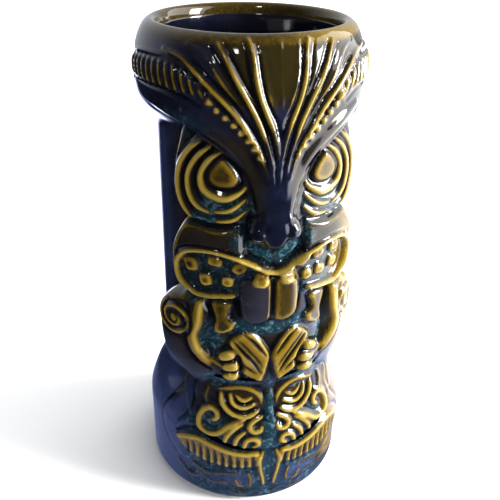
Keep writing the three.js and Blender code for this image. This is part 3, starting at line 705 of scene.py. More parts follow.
def carve_lower_face(skin):
    """The lower head: its face, eyes, nose, whiskers, toothed mouth and side lobes."""
    lobe = both_halves([
        (0, 66), (10, 68), (20, 68.6), (28, 67.6), (34, 66.4), (38.8, 61.6), (38.6, 56.4), (40.6, 50.4),
        (44.2, 44.6), (46.4, 38), (46.4, 30.6), (43.4, 24.6), (38.4, 20.4), (30, 15), (18, 10), (0, 8),
    ])

    def reach(s, t):
        return np.interp(
            t, [6, 12, 20, 28, 36, 42, 48, 54, 60, 68],
            [44.6, 45.1, 45.6, 45.8, 45.4, 44.4, 42.8, 41.6, 40.6, 39]
        ) - 0.3 * ease(np.abs(s), 20, 46)

    skin.member("lower_head", lobe, reach, edge=2.6)
    face = both_halves([
        (0, 65.4), (10, 66.4), (20, 66.8), (27.4, 65.6), (31.6, 61), (31, 54), (33.4, 46), (37.6, 39.6),
        (39.8, 34.6), (34, 38.6), (28.4, 40.4), (19.4, 37.4), (10, 33.2), (0, 32.4),
    ])
    where, depth = skin.inside(face)
    skin.name(where, depth > 0, "lower_face")
    for half in skin.halves:
        eye = [(3.6, 56.4), (6.6, 60.4), (12, 61.6), (18.6, 60.6), (19.6, 56.4), (17, 51.8), (12.6, 49.2),
               (8, 49.2), (4, 51.8)]
        half.member(f"lower_eye_{half.name}", eye, lambda s, t: reach(s, t) + 0.7, edge=2.4)
        half.tint("brown", eye, 1.0, 2.0)
        half.tint("thin", eye, 0.25, 2.0)
        lines = [
            ([(20.4, 61.4), (12, 63), (6.4, 61.4), (3.2, 57.8), (2.2, 53)], 2.6, 1.1, 0.8),
            ([(13.4, 59.4), (10.2, 57.2), (7, 58.6)], 2.6, 1.0, 1.0),
            ([(15.6, 60), (14.2, 55.8), (10.2, 53.8), (5.6, 55.6)], 2.6, 1.3, 1.0),
            ([(19.4, 60), (18.4, 54.8), (14.4, 50.4), (9.2, 49.4), (4.6, 52)], 3.8, 1.5, 1.0),
        ]
        for line, width, height, thin in lines:
            half.ridge(line, width, height, thin=thin, ends=4, taper=0.4)
        for line in (
            [(14.2, 59.4), (12.6, 56), (10, 55.2), (6.4, 56.6)],
            [(17.2, 60), (16.2, 55.2), (13, 52), (9.4, 51.8), (5, 53.6)],
            [(20.8, 60), (20.2, 54), (15.6, 49), (9, 48), (3.6, 50)],
        ):
            half.ridge(line, 1.3, -0.7, ends=4)
        coil = [
            (22, 46.6), (20.4, 47.8), (20.8, 50.6), (23.4, 51.8), (26.2, 50), (27.8, 46), (27.2, 42),
            (24.2, 39.8), (20, 40.6), (16.4, 44), (12.6, 46.8), (10, 48),
        ]
        half.ridge(coil, 3.4, 1.5, f"cheek_coil_{half.name}", thin=0.95, ends=5)
        inner_edge = [(23, 48.6), (24.8, 46.4), (24.2, 43.4), (20.6, 43.4), (17, 46.4), (12.6, 49)]
        half.ridge(inner_edge, 1.6, -0.7, ends=3)
        half.ridge([(29.4, 51), (30.2, 45), (29, 40), (24.6, 37.4), (19.6, 38.2)], 1.5, -0.6, ends=4)
        curl = [(3, 49), (6, 47.4), (7.8, 44.8), (6.4, 42.4), (4, 42.6), (3, 44.6)]
        half.ridge(curl, 3.0, 1.3, "lower_nose", thin=0.95, ends=2)
        half.knob(4.9, 44.8, 0.9, 1.1, -0.8, thin=0)
        whiskers = f"whiskers_{half.name}"
        for line in (
            [(17, 37), (16.2, 40), (13.2, 44), (10.6, 46)],
            [(13.2, 36), (12.4, 39.4), (9.6, 42.4)],
            [(9.8, 34.8), (8.8, 38.2), (5.6, 38.8), (4.4, 36.6), (6.2, 35)],
        ):
            half.ridge(line, 3.0, 1.4, whiskers, thin=1.0, ends=3)
        for line in ([(15, 36.4), (14.2, 39.8), (11.4, 43.4)], [(11.4, 35.6), (10.6, 38.6), (8, 40.6)]):
            half.ridge(line, 1.2, -0.7, ends=3)
        band = [(38.6, 33.6), (34, 38), (28.6, 39.8), (23.6, 38.4), (17, 35.6), (10, 33.2), (4, 32.2),
                (0, 32)]
        half.ridge(band, 2.2, -0.7, ends=3)
        teeth = f"lower_teeth_{half.name}"
        comb = [
            (38.4, 31.4), (33, 35.2), (27.6, 36.8), (22, 35.4), (16, 33.2), (10, 31.8), (4.2, 31.6),
            (4.4, 24), (10, 22.6), (17, 22.6), (24, 23.4), (30, 25), (34.6, 27.8),
        ]
        half.member(teeth, comb, lambda s, t: reach(s, t) + 0.9, edge=1.6)
        half.tint("thin", comb, 0.62, 1.2)
        bar = [(37.4, 31.6), (32.4, 34.2), (27.4, 35.6), (22, 34), (16, 31.8), (10, 30.6), (4.6, 30.6)]
        half.ridge(bar, 2.4, 0.5, teeth, thin=1.0, ends=6)
        # notches part the teeth of the comb
        for k in range(10):
            s = 6.2 + 2.9 * k
            top = np.interp(s, (4, 10, 16, 22, 28, 34), (29.4, 29.4, 30.4, 32, 33.2, 31.4))
            foot = np.interp(s, (4, 16, 24, 34), (21, 21, 21.8, 25.4))
            notch = [(s + 0.2, top), (s - 0.1, (top + foot) / 2), (s, foot)]
            half.ridge(notch, 2.1 if k % 3 else 2.6, -1.9, taper=0.2, ends=7, flat=0.25)
        # the lower lines: a strip beside the middle, then ripples over the foot
        strip = [(2.6, 31.6), (3.6, 27), (3.4, 21), (2.4, 15), (2, 11)]
        half.ridge(strip, 1.8, 0.9, teeth, thin=1.0, ends=3)
        half.ridge([(8, 19.6), (7, 15), (7.4, 11)], 2.6, 1.0, thin=0.35, ends=3)
        half.ridge([(13, 15.4), (11.6, 11.6), (9.4, 10.4)], 2.4, 1.0, thin=0.5, ends=2)
        half.ridge([(24.6, 61.6), (25.4, 57), (24, 53.6), (21, 53.6)], 2.4, 0.9, thin=0.3, ends=3)
        for line in (
            [(38, 15), (32, 11), (27, 13.4), (22, 11.4), (17, 13.6), (13, 10)],
            [(30, 20.4), (24, 17.4), (18, 18.6), (12, 19)],
            [(16, 7), (11, 5.6), (6, 8), (1.6, 6)],
        ):
            half.ridge(line, 3.0, 0.9, thin=0.25, ends=5)
        # the side lobe and its outline
        ear = [(30.4, 62), (28.6, 57), (29, 50), (31.4, 45), (34, 49), (34.6, 56)]
        half.member(f"ear_{half.name}", ear, lambda s, t: reach(s, t) + 0.5, edge=1.8)
        outline = [(39.2, 62), (38.8, 56.4), (40.8, 50.6), (44.6, 44.4), (46.9, 38), (46.8, 30.6),
                   (43.6, 24.2), (38, 19.6)]
        half.ridge(outline, 1.6, 0.35, thin=0.3, ends=6)
        half.ridge([(s + 1.4, t) for s, t in outline], 1.8, -0.4, ends=6)
        rest = [(27.6, 66), (31.4, 60), (31, 53.4), (33.6, 45.6), (38, 39)]
        half.ridge(rest, 1.6, -0.7, ends=5)
    bridge = both_halves([(0, 62), (1.8, 59), (1.8, 50), (2.6, 45), (2.4, 40), (1.2, 38), (0, 37.6)])
    skin.member("lower_nose", bridge, lambda s, t: reach(s, t) + 0.9, edge=1.6)
    for half in skin.halves:
        half.ridge([(2.4, 60), (2.2, 52), (2.4, 47)], 1.2, -0.6, ends=3)
        half.ridge([(0.9, 31), (0.9, 20), (0.8, 9)], 1.2, -0.6, ends=3)


def glaze_the_skin(skin):
    """Where each colour of glaze lies. Ridges thin it by themselves; these are the broad patches."""
    t, s = skin.t[:, None], np.abs(skin.s[None, :])
    from_centre = skin.s[None, :]
    # right: the right of the mug, where the light falls; what it lightens below is painted light
    right = ease(from_centre, -4, 22) * ease(s, 100, 50)
    figure = ease(s, 50, 36)
    # the rim is darker; the left of the face is painted darker as painted shade, and the lip itself is amber,
    # painted lighter on its lit right as painted light
    skin.thin *= 1 - 0.45 * ease(t, 180, 194)
    skin.thin *= 1 - 0.16 * ease(-from_centre, 2, 14) * ease(t, 100, 130)
    skin.cover("thin", (0.36 + 0.2 * right) * ease(t, 195, 198.5))
    # brown over the headdress and the figure; on the plate the lighter brown also spreads over the lit right
    # as painted light
    fan = ease(s, 24, 12) * ease(t, 176, 182)
    plate = ease(t, 166, 172)
    on_plate = 0.25 + 0.75 * np.maximum(fan, right)
    skin.cover("brown", 0.85 * ease(t, 62, 72) * figure * (1 - plate) + plate * on_plate)
    # the drum: blue-grey at its sides and up the wall, the glaze's own blue-grey with a painted reflection of
    # the pale table over it; teal in front, brown on the lower brow
    skin.cover("lilac", 0.8 * ease(t, 62, 50) * ease(s, 30, 42))
    skin.cover("lilac", 0.35 * ease(t, 168, 160) * ease(s, 44, 54))
    skin.cover("teal", 0.6 * ease(t, 52, 44) * ease(s, 44, 28))
    skin.cover("brown", 0.7 * ease(t, 36, 42) * ease(t, 68, 62) * ease(s, 34, 26))
    # deep navy down the trunk, on the nose and below the beads
    trunk = ease(s, 6.5, 2.5) * ease(t, 180, 172) * ease(t, 132, 138)
    nose = ease(s, 11.5, 9.5) * ease(t, 126, 129) * ease(t, 143, 140)
    below_beads = ease(s, 18, 30) * ease(t, 184, 177) * ease(t, 163, 169)
    skin.brown *= 1 - 0.92 * np.maximum(np.maximum(trunk, nose), below_beads)
    skin.cover("calm", 0.8 * ease(s, 9.4, 8) * ease(t, 160, 150) * ease(t, 139, 142))
    skin.cover("calm", 0.7 * ease(t, 178, 174) * ease(t, 164, 168) * ease(s, 20, 28))
    # painted light: the lit right of the figure and of the lower head is painted amber, like thin glaze
    skin.cover("thin", 0.5 * right * ease(t, 64, 56) * ease(t, 2, 12) * ease(s, 16, 30))
    skin.cover("thin", 0.46 * right * ease(t, 62, 72) * ease(t, 138, 132) * ease(s, 18, 30) * figure)
    skin.thin *= 1 - 0.9 * ease(s, 5.8, 4.2) * ease(t, 177, 170) * ease(t, 150, 153)
    skin.cover("pool", np.maximum(0.5 * trunk, 0.45 * below_beads))
    skin.pool *= 1 - 0.5 * ease(t, 40, 30)
    for half in skin.halves:
        for glaze, *patch in (
            ("teal", 34, 172, 16, 6, 0.5), ("teal", 18, 144, 15, 7, 1.0), ("teal", 24, 138.4, 16, 4, 0.8),
            ("teal", 24, 106, 20, 5, 0.7), ("teal", 12, 93, 13, 7, 0.9), ("teal", 23, 86, 7, 15, 1.0),
            ("teal", 12.4, 132, 4, 9, 0.8), ("teal", 18, 66, 18, 6, 0.8), ("teal", 24, 44, 14, 8, 0.9),
            ("lilac", 14, 14, 12, 9, 0.6),
        ):
            half.daub(glaze, *patch)
    for patch in ((0, 92.6, 16, 5, 1.0), (0, 45, 4, 30, 0.9), (0, 20, 6, 20, 1.0)):
        skin.daub("teal", *patch)


_skins = {}


def carved_skin():
    """The finished skin, drawn once for all the members that are cut from it."""
    if "mug" not in _skins:
        cut = bpy.context.scene.tiki_carving
        skin = Skin(cut.grain * 1000, cut.softness * 1000)
        carve_ground(skin)
        carve_lower_face(skin)
        carve_arms(skin)
        carve_eyes(skin)
        carve_cheeks_and_nose(skin)
        carve_mouth(skin)
        carve_crest(skin)
        carve_headdress(skin)
        glaze_the_skin(skin)
        skin.claim(skin.t < 58.4, "lower_head")
        skin.finish()
        _skins["mug"] = skin
    return _skins["mug"]


def linked(bm, name, material):
    """Makes the mesh a smooth object of the scene."""
    mesh = bpy.data.meshes.new(name)
    bm.to_mesh(mesh)
    bm.free()
    mesh.materials.append(material)
    mesh.polygons.foreach_set("use_smooth", [True] * len(mesh.polygons))
    thing = bpy.data.objects.new(name, mesh)
    bpy.context.scene.collection.objects.link(thing)
    return thing


def object_from(bm, name, material):
    """Makes the mesh an object that stands for the CAD node of the same name."""
    piece = linked(bm, name, material)
    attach(piece, "root")
    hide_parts(name)
    return piece


def face_outward(bm):
    """Turns every face of a closed mesh outward."""
    bmesh.ops.recalc_face_normals(bm, faces=bm.faces)
    if bm.calc_volume(signed=True) < 0:
        bmesh.ops.reverse_faces(bm, faces=bm.faces)


def member_mesh(skin, name):
    """A member cut from the skin along its outline and closed at its back."""
    label = skin.label[:-1, :-1] == skin.members.index(name)
    rows = np.flatnonzero(label.any(axis=1))
    cols = np.flatnonzero(label.any(axis=0))
    if not len(rows):
        raise RuntimeError(f"nothing of {name} shows on the skin")
    r0, c0 = int(rows[0]), int(cols[0])
    tall, wide = int(rows[-1]) - r0 + 1, int(cols[-1]) - c0 + 1
    bm = bmesh.new()
    at, beside = bm.verts.layers.int.new("row"), bm.verts.layers.int.new("column")
    glaze, pool = bm.verts.layers.float_color.new("glaze"), bm.verts.layers.float.new("pool")
    front = bm.faces.layers.int.new("front")
    at, beside = bm.verts.layers.int["row"], bm.verts.layers.int["column"]
    glaze, pool = bm.verts.layers.float_color["glaze"], bm.verts.layers.float["pool"]
    bmesh.ops.create_grid(bm, x_segments=wide, y_segments=tall, size=0.5)
    for v in bm.verts:
        v[at] = r0 + round((v.co.y + 0.5) * tall)
        v[beside] = c0 + round((v.co.x + 0.5) * wide)
    waste = []
    for f in bm.faces:
        f[front] = 1
        if not label[min(v[at] for v in f.verts), min(v[beside] for v in f.verts)]:
            waste.append(f)
    bmesh.ops.delete(bm, geom=waste, context="FACES")
    for v in bm.verts:
        row, col = v[at], v[beside]
        v.co = skin.place[row, col]
        v[glaze] = skin.glaze[row, col]
        v[pool] = skin.pool[row, col]
    last = len(skin.s) - 1
    if wide == last:
        seam = [v for v in bm.verts if v[beside] in (0, last)]
        bmesh.ops.remove_doubles(bm, verts=seam, dist=TOUCH)
    back = bmesh.ops.extrude_face_region(bm, geom=bm.faces[:], use_keep_orig=True)["geom"]
    for item in back:
        if isinstance(item, bmesh.types.BMVert):
            reach = CORE * MM / math.hypot(item.co.x, item.co.y)
            item.co.x *= min(reach, 1.0)
            item.co.y *= min(reach, 1.0)
            item.co.z = min(item.co.z, LIP_CORE * MM)
        elif isinstance(item, bmesh.types.BMFace):
            item[front] = 0
    for f in bm.faces:
        if f[front] and any(e.is_boundary for e in f.edges):
            raise RuntimeError(f"{name} isn't closed")
    face_outward(bm)
    return bm


def show_skin_normals(mesh, skin):
    """Shades the cut member as the whole skin it was part of, so that no seam shows at its border."""
    def values(layer, kind, count):
        out = np.zeros(count, kind)
        layer.foreach_get("value", out)
        return out

    front = values(mesh.attributes["front"].data, np.int32, len(mesh.polygons))
    row = values(mesh.attributes["row"].data, np.int32, len(mesh.vertices))
    col = values(mesh.attributes["column"].data, np.int32, len(mesh.vertices))
    totals = np.zeros(len(mesh.polygons), np.int32)
    mesh.polygons.foreach_get("loop_total", totals)
    flat = np.zeros(3 * len(mesh.polygons))
    mesh.polygons.foreach_get("normal", flat)
    corner = np.zeros(len(mesh.loops), np.int32)
    mesh.loops.foreach_get("vertex_index", corner)
    shown = np.repeat(front, totals)[:, None] > 0
    own = np.repeat(flat.reshape(-1, 3), totals, axis=0)
    mesh.normals_split_custom_set(np.where(shown, skin.normal[row[corner], col[corner]], own).tolist())
    for extra in ("front", "row", "column"):
        mesh.attributes.remove(mesh.attributes[extra])


def cut_member(name, slot):
    """Cuts one member from the skin and makes it a piece."""
    skin = carved_skin()
    piece = object_from(member_mesh(skin, name), name, glaze_material(slot))
    show_skin_normals(piece.data, skin)
    return piece


def cut_pairs(slot, *names):
    """Cuts the left and the right member of each name."""
    for name in names:
        for side, _ in SIDES:
            cut_member(f"{name}_{side}", slot)


# ---- glazes --------------------------------------------------------------------------------------

class Nodes:
    """Places and joins shader nodes in a tree."""

    def __init__(self, tree):
        self.tree = tree

    def add(self, kind, **settings):
        node = self.tree.nodes.new(kind)
        for key, value in settings.items():
            setattr(node, key, value)
        return node

    def join(self, source, target):
        self.tree.links.new(source, target)

    def feed(self, socket, value):
        if isinstance(value, bpy.types.NodeSocket):
            self.join(value, socket)
        else:
            socket.default_value = value

    def noise(self, where, scale, detail=3.0, roughness=0.55, distortion=0.0):
        node = self.add("ShaderNodeTexNoise")
        self.join(where, node.inputs["Vector"])
        for key, value in (("Scale", scale), ("Detail", detail), ("Roughness", roughness),
                           ("Distortion", distortion)):
            self.feed(node.inputs[key], value)
        return node.outputs["Fac"]

    def math(self, operation, a, b=0.0, clamp=False):
        node = self.add("ShaderNodeMath", operation=operation, use_clamp=clamp)
        self.feed(node.inputs[0], a)
        self.feed(node.inputs[1], b)
        return node.outputs[0]

    def span(self, value, low, high, to_low=0.0, to_high=1.0):
        node = self.add("ShaderNodeMapRange", interpolation_type="SMOOTHSTEP")
        self.feed(node.inputs["Value"], value)
        for key, x in (("From Min", low), ("From Max", high), ("To Min", to_low), ("To Max", to_high)):
            self.feed(node.inputs[key], x)
        return node.outputs["Result"]

    def blend(self, amount, a, b):
        node = self.add("ShaderNodeMix", data_type="RGBA")
        self.feed(node.inputs["Factor"], amount)
        self.feed(node.inputs["A"], a)
        self.feed(node.inputs["B"], b)
        return node.outputs["Result"]


MOTTLE_SCALE = 620.0
RUN_SCALE = 60.0


def principled(name):
    """A new material, a hand on its nodes, and its shader."""
    mat = bpy.data.materials.new(name)
    mat.use_nodes = True
    return mat, Nodes(mat.node_tree), mat.node_tree.nodes["Principled BSDF"]


def add_bump(n, shader, height, strength, distance):
    bump = n.add("ShaderNodeBump")
    bump.inputs["Strength"].default_value = strength
    bump.inputs["Distance"].default_value = distance
    n.join(height, bump.inputs["Height"])
    n.join(bump.outputs["Normal"], shader.inputs["Normal"])


def pooled_glaze():
    """One running glaze: amber where it is thin, dark where it gathers and where shade is painted, mottled
    teal in the recesses.
    """
    old = bpy.data.node_groups.get("pooled_glaze")
    if old:
        return old
    group = bpy.data.node_groups.new("pooled_glaze", "ShaderNodeTree")
    colours = ("Thin", "Rubbed", "Deep", "Teal", "Pale Teal", "Brown", "Lilac")
    for name in colours:
        group.interface.new_socket(name, in_out="INPUT", socket_type="NodeSocketColor")
    for name, default in (("Mottle Scale", MOTTLE_SCALE), ("Run Scale", RUN_SCALE)):
        socket = group.interface.new_socket(name, in_out="INPUT", socket_type="NodeSocketFloat")
        socket.default_value = default
    group.interface.new_socket("Color", in_out="OUTPUT", socket_type="NodeSocketColor")
    group.interface.new_socket("Roughness", in_out="OUTPUT", socket_type="NodeSocketFloat")
    group.interface.new_socket("Height", in_out="OUTPUT", socket_type="NodeSocketFloat")
    n = Nodes(group)
    given = n.add("NodeGroupInput").outputs
    put = n.add("NodeGroupOutput").inputs
    where = n.add("ShaderNodeTexCoord").outputs["Object"]
    painted = n.add("ShaderNodeAttribute", attribute_name="glaze")
    parts = n.add("ShaderNodeSeparateColor")
    n.join(painted.outputs["Color"], parts.inputs["Color"])
    thin, teal, brown = parts.outputs
    lilac = painted.outputs["Alpha"]
    pool = n.add("ShaderNodeAttribute", attribute_name="pool").outputs["Fac"]
    mottle = n.noise(where, given["Mottle Scale"], 4.0, 0.7, 0.6)
    coarse = n.noise(where, n.math("MULTIPLY", given["Mottle Scale"], 0.37), 3.0, 0.6, 0.8)
    run = n.noise(where, given["Run Scale"], 3.0, 0.5, 0.4)
    # a body of deep glaze that drifts in tone
    body = n.blend(n.span(run, 0.35, 0.7, 0.0, 0.22), given["Deep"], given["Lilac"])
    body = n.blend(n.math("MULTIPLY", brown, n.span(run, 0.3, 0.55, 0.75, 1.0)), body, given["Brown"])
    spot = n.math("ADD", n.math("MULTIPLY", mottle, 0.6), n.math("MULTIPLY", coarse, 0.4))
    milky = n.blend(n.span(spot, 0.5, 0.64), given["Teal"], given["Pale Teal"])
    body = n.blend(n.math("MULTIPLY", teal, n.span(spot, 0.3, 0.5, 0.45, 1.0), clamp=True), body, milky)
    body = n.blend(n.math("MULTIPLY", lilac, 0.85), body, given["Lilac"])
    # dark: gathered glaze, and the painted shade deep in the bore
    dark = n.math("MULTIPLY", pool, n.span(teal, 0.2, 0.9, 0.95, 0.5))
    body = n.blend(dark, body, (0.001, 0.001, 0.002, 1.0))
    # thin glaze warms to brown, then amber, then khaki on the sharpest ridges
    edge = n.math("ADD", thin, n.math("MULTIPLY", n.math("SUBTRACT", mottle, 0.5), 0.3))
    warm = n.blend(n.span(edge, 0.08, 0.4), body, given["Brown"])
    warm = n.blend(n.span(edge, 0.25, 0.75), warm, given["Thin"])
    n.join(n.blend(n.span(edge, 0.7, 1.1), warm, given["Rubbed"]), put["Color"])
    n.join(n.span(mottle, 0.3, 0.8, 0.05, 0.13), put["Roughness"])
    waves = n.math("ADD", n.math("MULTIPLY", run, 0.8), n.math("MULTIPLY", coarse, 0.12))
    n.join(waves, put["Height"])
    return group


def glaze_material(slot):
    """The running glaze as it lies on one kind of member."""
    found = bpy.data.materials.get(f"fired_{slot}")
    if found:
        return found
    cut = bpy.context.scene.tiki_glaze
    mat, n, shader = principled(f"fired_{slot}")
    glaze = n.add("ShaderNodeGroup", node_tree=pooled_glaze())
    for key, colour in (
        ("Thin", cut.amber), ("Rubbed", cut.khaki), ("Deep", cut.navy), ("Teal", cut.teal),
        ("Pale Teal", cut.pale_teal), ("Brown", cut.brown), ("Lilac", cut.lilac),
    ):
        glaze.inputs[key].default_value = (*colour, 1.0)
    glaze.inputs["Mottle Scale"].default_value = MOTTLE_SCALE
    glaze.inputs["Run Scale"].default_value = RUN_SCALE
    n.join(glaze.outputs["Color"], shader.inputs["Base Color"])
    n.join(glaze.outputs["Roughness"], shader.inputs["Roughness"])
    shader.inputs["IOR"].default_value = 1.52
    shader.inputs["Coat Weight"].default_value = 0.35
    shader.inputs["Coat Roughness"].default_value = 0.02
    add_bump(n, shader, glaze.outputs["Height"], 0.25, 0.0006)
    return mat


def bare_clay_material():
    """Unglazed buff clay: fine grog, a little staining."""
    mat, n, shader = principled("fired_bare_clay")
    where = n.add("ShaderNodeTexCoord").outputs["Object"]
    grog = n.noise(where, 1400.0, 2.0, 0.6)
    stain = n.noise(where, 70.0, 4.0, 0.6)
    clay = bpy.context.scene.tiki_glaze.clay
    stained = (clay[0] * 0.72, clay[1] * 0.66, clay[2] * 0.56, 1.0)
    ground = n.blend(n.span(stain, 0.35, 0.7), (*clay, 1.0), stained)
    colour = n.blend(n.span(grog, 0.6, 0.75, 0.0, 0.5), ground, (0.25, 0.18, 0.12, 1.0))
    n.join(colour, shader.inputs["Base Color"])
    n.join(n.span(grog, 0.3, 0.8, 0.75, 0.95), shader.inputs["Roughness"])
    add_bump(n, shader, grog, 0.4, 0.0002)
    return mat


def turned(bm, profile):
    """Spins a profile of (radius, height) in millimetres about the mug's axis."""
    points = [bm.verts.new((r * MM, 0.0, z * MM)) for r, z in profile]
    edges = [bm.edges.new(pair) for pair in zip(points, points[1:])]
    bmesh.ops.spin(
        bm, geom=points + edges, cent=(0, 0, 0), axis=(0, 0, 1), angle=2 * math.pi, steps=TURN_STEPS,
        use_merge=True,
    )
    bmesh.ops.remove_doubles(bm, verts=bm.verts, dist=TOUCH)
    bmesh.ops.dissolve_degenerate(bm, edges=bm.edges, dist=TOUCH / 10)
    face_outward(bm)


# ---- what a user can change ----------------------------------------------------------------------

def colour_of(name, value, words):
    return FloatVectorProperty(name=name, description=words, default=value, size=3, subtype="COLOR",
                               min=0.0, max=1.0)


class CarvingSettings(bpy.types.PropertyGroup):
    grain: FloatProperty(
        name="Grain", description="Spacing of the points the carving is cut with", default=0.00042,
        min=0.0002, max=0.002, unit="LENGTH",
    )
    softness: FloatProperty(
        name="Softness", description="How far the glaze rounds the carving's edges", default=0.00045,
        min=0.0001, max=0.002, unit="LENGTH",
    )


class GlazeSettings(bpy.types.PropertyGroup):
    amber: colour_of("Amber", (0.135, 0.083, 0.006), "Thin glaze on ridges")
    khaki: colour_of("Khaki", (0.24, 0.175, 0.035), "Thinnest glaze on the sharpest ridges")
    navy: colour_of("Navy", (0.0022, 0.0034, 0.0105), "Deep glaze")
    teal: colour_of("Teal", (0.004, 0.022, 0.032), "Glaze that gathers in recesses")
    pale_teal: colour_of("Pale teal", (0.075, 0.135, 0.15), "Milky specks in the teal")
    brown: colour_of("Brown", (0.0125, 0.0088, 0.002), "Glaze over panels and cheeks")
    lilac: colour_of("Lilac", (0.034, 0.048, 0.13), "Blue-grey drift in the deep glaze")
    clay: colour_of("Clay", (0.62, 0.52, 0.38), "Bare clay of the foot")


class CupSettings(bpy.types.PropertyGroup):
    floor: FloatProperty(
        name="Floor", description="Height of the cup's floor", default=0.0085, min=0.004, max=0.02,
        unit="LENGTH"
    )


class StageSettings(bpy.types.PropertyGroup):
    yaw: FloatProperty(
        name="Yaw", description="How far to the side of the face the camera stands",
        default=math.radians(-14.2), subtype="ANGLE",
    )
    distance: FloatProperty(
        name="Distance", description="From the mug's axis to the camera, level", default=0.2428,
        unit="LENGTH",
    )
    rise: FloatProperty(name="Height", description="Camera's height", default=0.2358, unit="LENGTH")
    pitch: FloatProperty(
        name="Pitch", description="How far down the camera looks", default=math.radians(29.73),
        subtype="ANGLE"
    )
    lens: FloatProperty(
        name="Lens", description="Camera's focal length in millimetres", default=46.1, min=10.0, max=200.0
    )
    room: FloatProperty(name="Room", description="Strength of the light from all round", default=0.2,
                        min=0.0)


# ---- operators -----------------------------------------------------------------------------------

class TIKI_OT_cup(bpy.types.Operator):
    """The thrown cup: the plain outside behind the carving, the bore and the floor"""

    bl_idname = "tiki.cup"
    bl_label = "Cup"
    bl_options = {"REGISTER", "UNDO"}

    def execute(self, context):
        floor = context.scene.tiki_cup.floor * 1000
        piece = cut_member("vessel", "navy_glaze")
        bm = bmesh.new()
        bm.verts.layers.float_color.new("glaze")
        bm.verts.layers.float.new("pool")
        bore = flowing([
            (0.0, floor), (BORE - 12, floor), (BORE - 5, floor + 0.5), (BORE - 1.2, floor + 3.2),
            (BORE, floor + 8), (BORE, 90), (BORE, 150), (BORE, 172), (31.9, 184), (32.6, 193), (33.1, 197),
        ], step=8.0)
        # the lining's own outside lies hidden in the wall
        outside = [(33.6, 196.5), (33.7, 190), (33.7, 3.4), (0.0, 3.4)]
        turned(bm, [(max(r, 0.0), z) for r, z in bore] + outside)
        glaze, pool = bm.verts.layers.float_color["glaze"], bm.verts.layers.float["pool"]
        # painted shade: below the lip the bore is painted near black, standing for the shade inside the cup;
        # near the lip the glaze is brown
        for v in bm.verts:
            near_lip = float(ease(v.co.z / MM, 190, 199))
            v[glaze] = (0.0, 0.0, 0.4 * near_lip, 0.0)
            v[pool] = 1 - near_lip
        lining = linked(bm, "lining", piece.data.materials[0])
        with context.temp_override(active_object=piece, selected_editable_objects=[piece, lining]):
            bpy.ops.object.join()
        return {"FINISHED"}


class TIKI_OT_foot_ring(bpy.types.Operator):
    """The unglazed ring that the mug stands on"""

    bl_idname = "tiki.foot_ring"
    bl_label = "Foot ring"
    bl_options = {"REGISTER", "UNDO"}

    def execute(self, context):
        bm = bmesh.new()
        turned(bm, [
            (35.4, 0.9), (36.1, 0.25), (36.9, 0), (41, 0), (41.9, 0.2), (42.6, 0.85), (42.3, 2.4),
            (34.8, 2.4), (35.4, 0.9),
        ])
        object_from(bm, "foot_ring", bare_clay_material())
        return {"FINISHED"}


class TIKI_OT_headdress(bpy.types.Operator):
    """The collar with its brow plate, plumes and beads"""

    bl_idname = "tiki.headdress"
    bl_label = "Headdress"
    bl_options = {"REGISTER", "UNDO"}

    def execute(self, context):
        cut_member("headdress", "navy_glaze")
        cut_member("centre_plume", "brown_glaze")
        cut_pairs("amber_glaze", "inner_plume", "outer_plume", "edge_plume", "bead_band")
        return {"FINISHED"}


class TIKI_OT_eyes(bpy.types.Operator):
    """The ringed eyes and their pupils"""

    bl_idname = "tiki.eyes"
    bl_label = "Eyes"
    bl_options = {"REGISTER", "UNDO"}

    def execute(self, context):
        cut_pairs("teal_glaze", "eye")
        cut_pairs("amber_glaze", "pupil")
        return {"FINISHED"}


class TIKI_OT_nose_and_cheeks(bpy.types.Operator):
    """The nose and the cheek folds"""

    bl_idname = "tiki.nose_and_cheeks"
    bl_label = "Nose and cheeks"
    bl_options = {"REGISTER", "UNDO"}

    def execute(self, context):
        cut_member("nose", "navy_glaze")
        cut_pairs("brown_glaze", "cheek")
        return {"FINISHED"}


class TIKI_OT_mouth(bpy.types.Operator):
    """The toothed mouth, the tongue and the jaws"""

    bl_idname = "tiki.mouth"
    bl_label = "Mouth"
    bl_options = {"REGISTER", "UNDO"}

    def execute(self, context):
        cut_member("mouth", "amber_glaze")
        cut_member("tongue", "lilac_glaze")
        cut_pairs("brown_glaze", "jaw")
        return {"FINISHED"}


class TIKI_OT_arms(bpy.types.Operator):
    """The arms and hands"""

    bl_idname = "tiki.arms"
    bl_label = "Arms"
    bl_options = {"REGISTER", "UNDO"}

    def execute(self, context):
        cut_pairs("navy_glaze", "arm")
        cut_pairs("amber_glaze", "hand")
        return {"FINISHED"}


class TIKI_OT_crest(bpy.types.Operator):
    """The leaf fans and their stem"""

    bl_idname = "tiki.crest"
    bl_label = "Crest"
    bl_options = {"REGISTER", "UNDO"}

    def execute(self, context):
        cut_pairs("amber_glaze", "crest_leaf")
        cut_member("crest_stem", "teal_glaze")
        return {"FINISHED"}


class TIKI_OT_lower_head(bpy.types.Operator):
    """The lower head and everything carved on it"""

    bl_idname = "tiki.lower_head"
    bl_label = "Lower head"
    bl_options = {"REGISTER", "UNDO"}

    def execute(self, context):
        cut_member("lower_head", "navy_glaze")
        cut_member("lower_nose", "navy_glaze")
        cut_member("lower_face", "teal_glaze")
        cut_pairs("amber_glaze", "lower_eye", "cheek_coil", "whiskers", "lower_teeth", "ear")
        return {"FINISHED"}


def soft_box(name, place, aim, size, power):
    """A rectangular studio light that faces a point."""
    light = bpy.data.lights.new(name, "AREA")
    light.shape = "RECTANGLE"
    light.size, light.size_y = size
    light.energy = power
    lamp = bpy.data.objects.new(name, light)
    facing = (Vector(aim) - Vector(place)).to_track_quat("-Z", "Y").to_matrix().to_4x4()
    lamp.matrix_world = Matrix.Translation(place) @ facing
    bpy.context.scene.collection.objects.link(lamp)
    return lamp


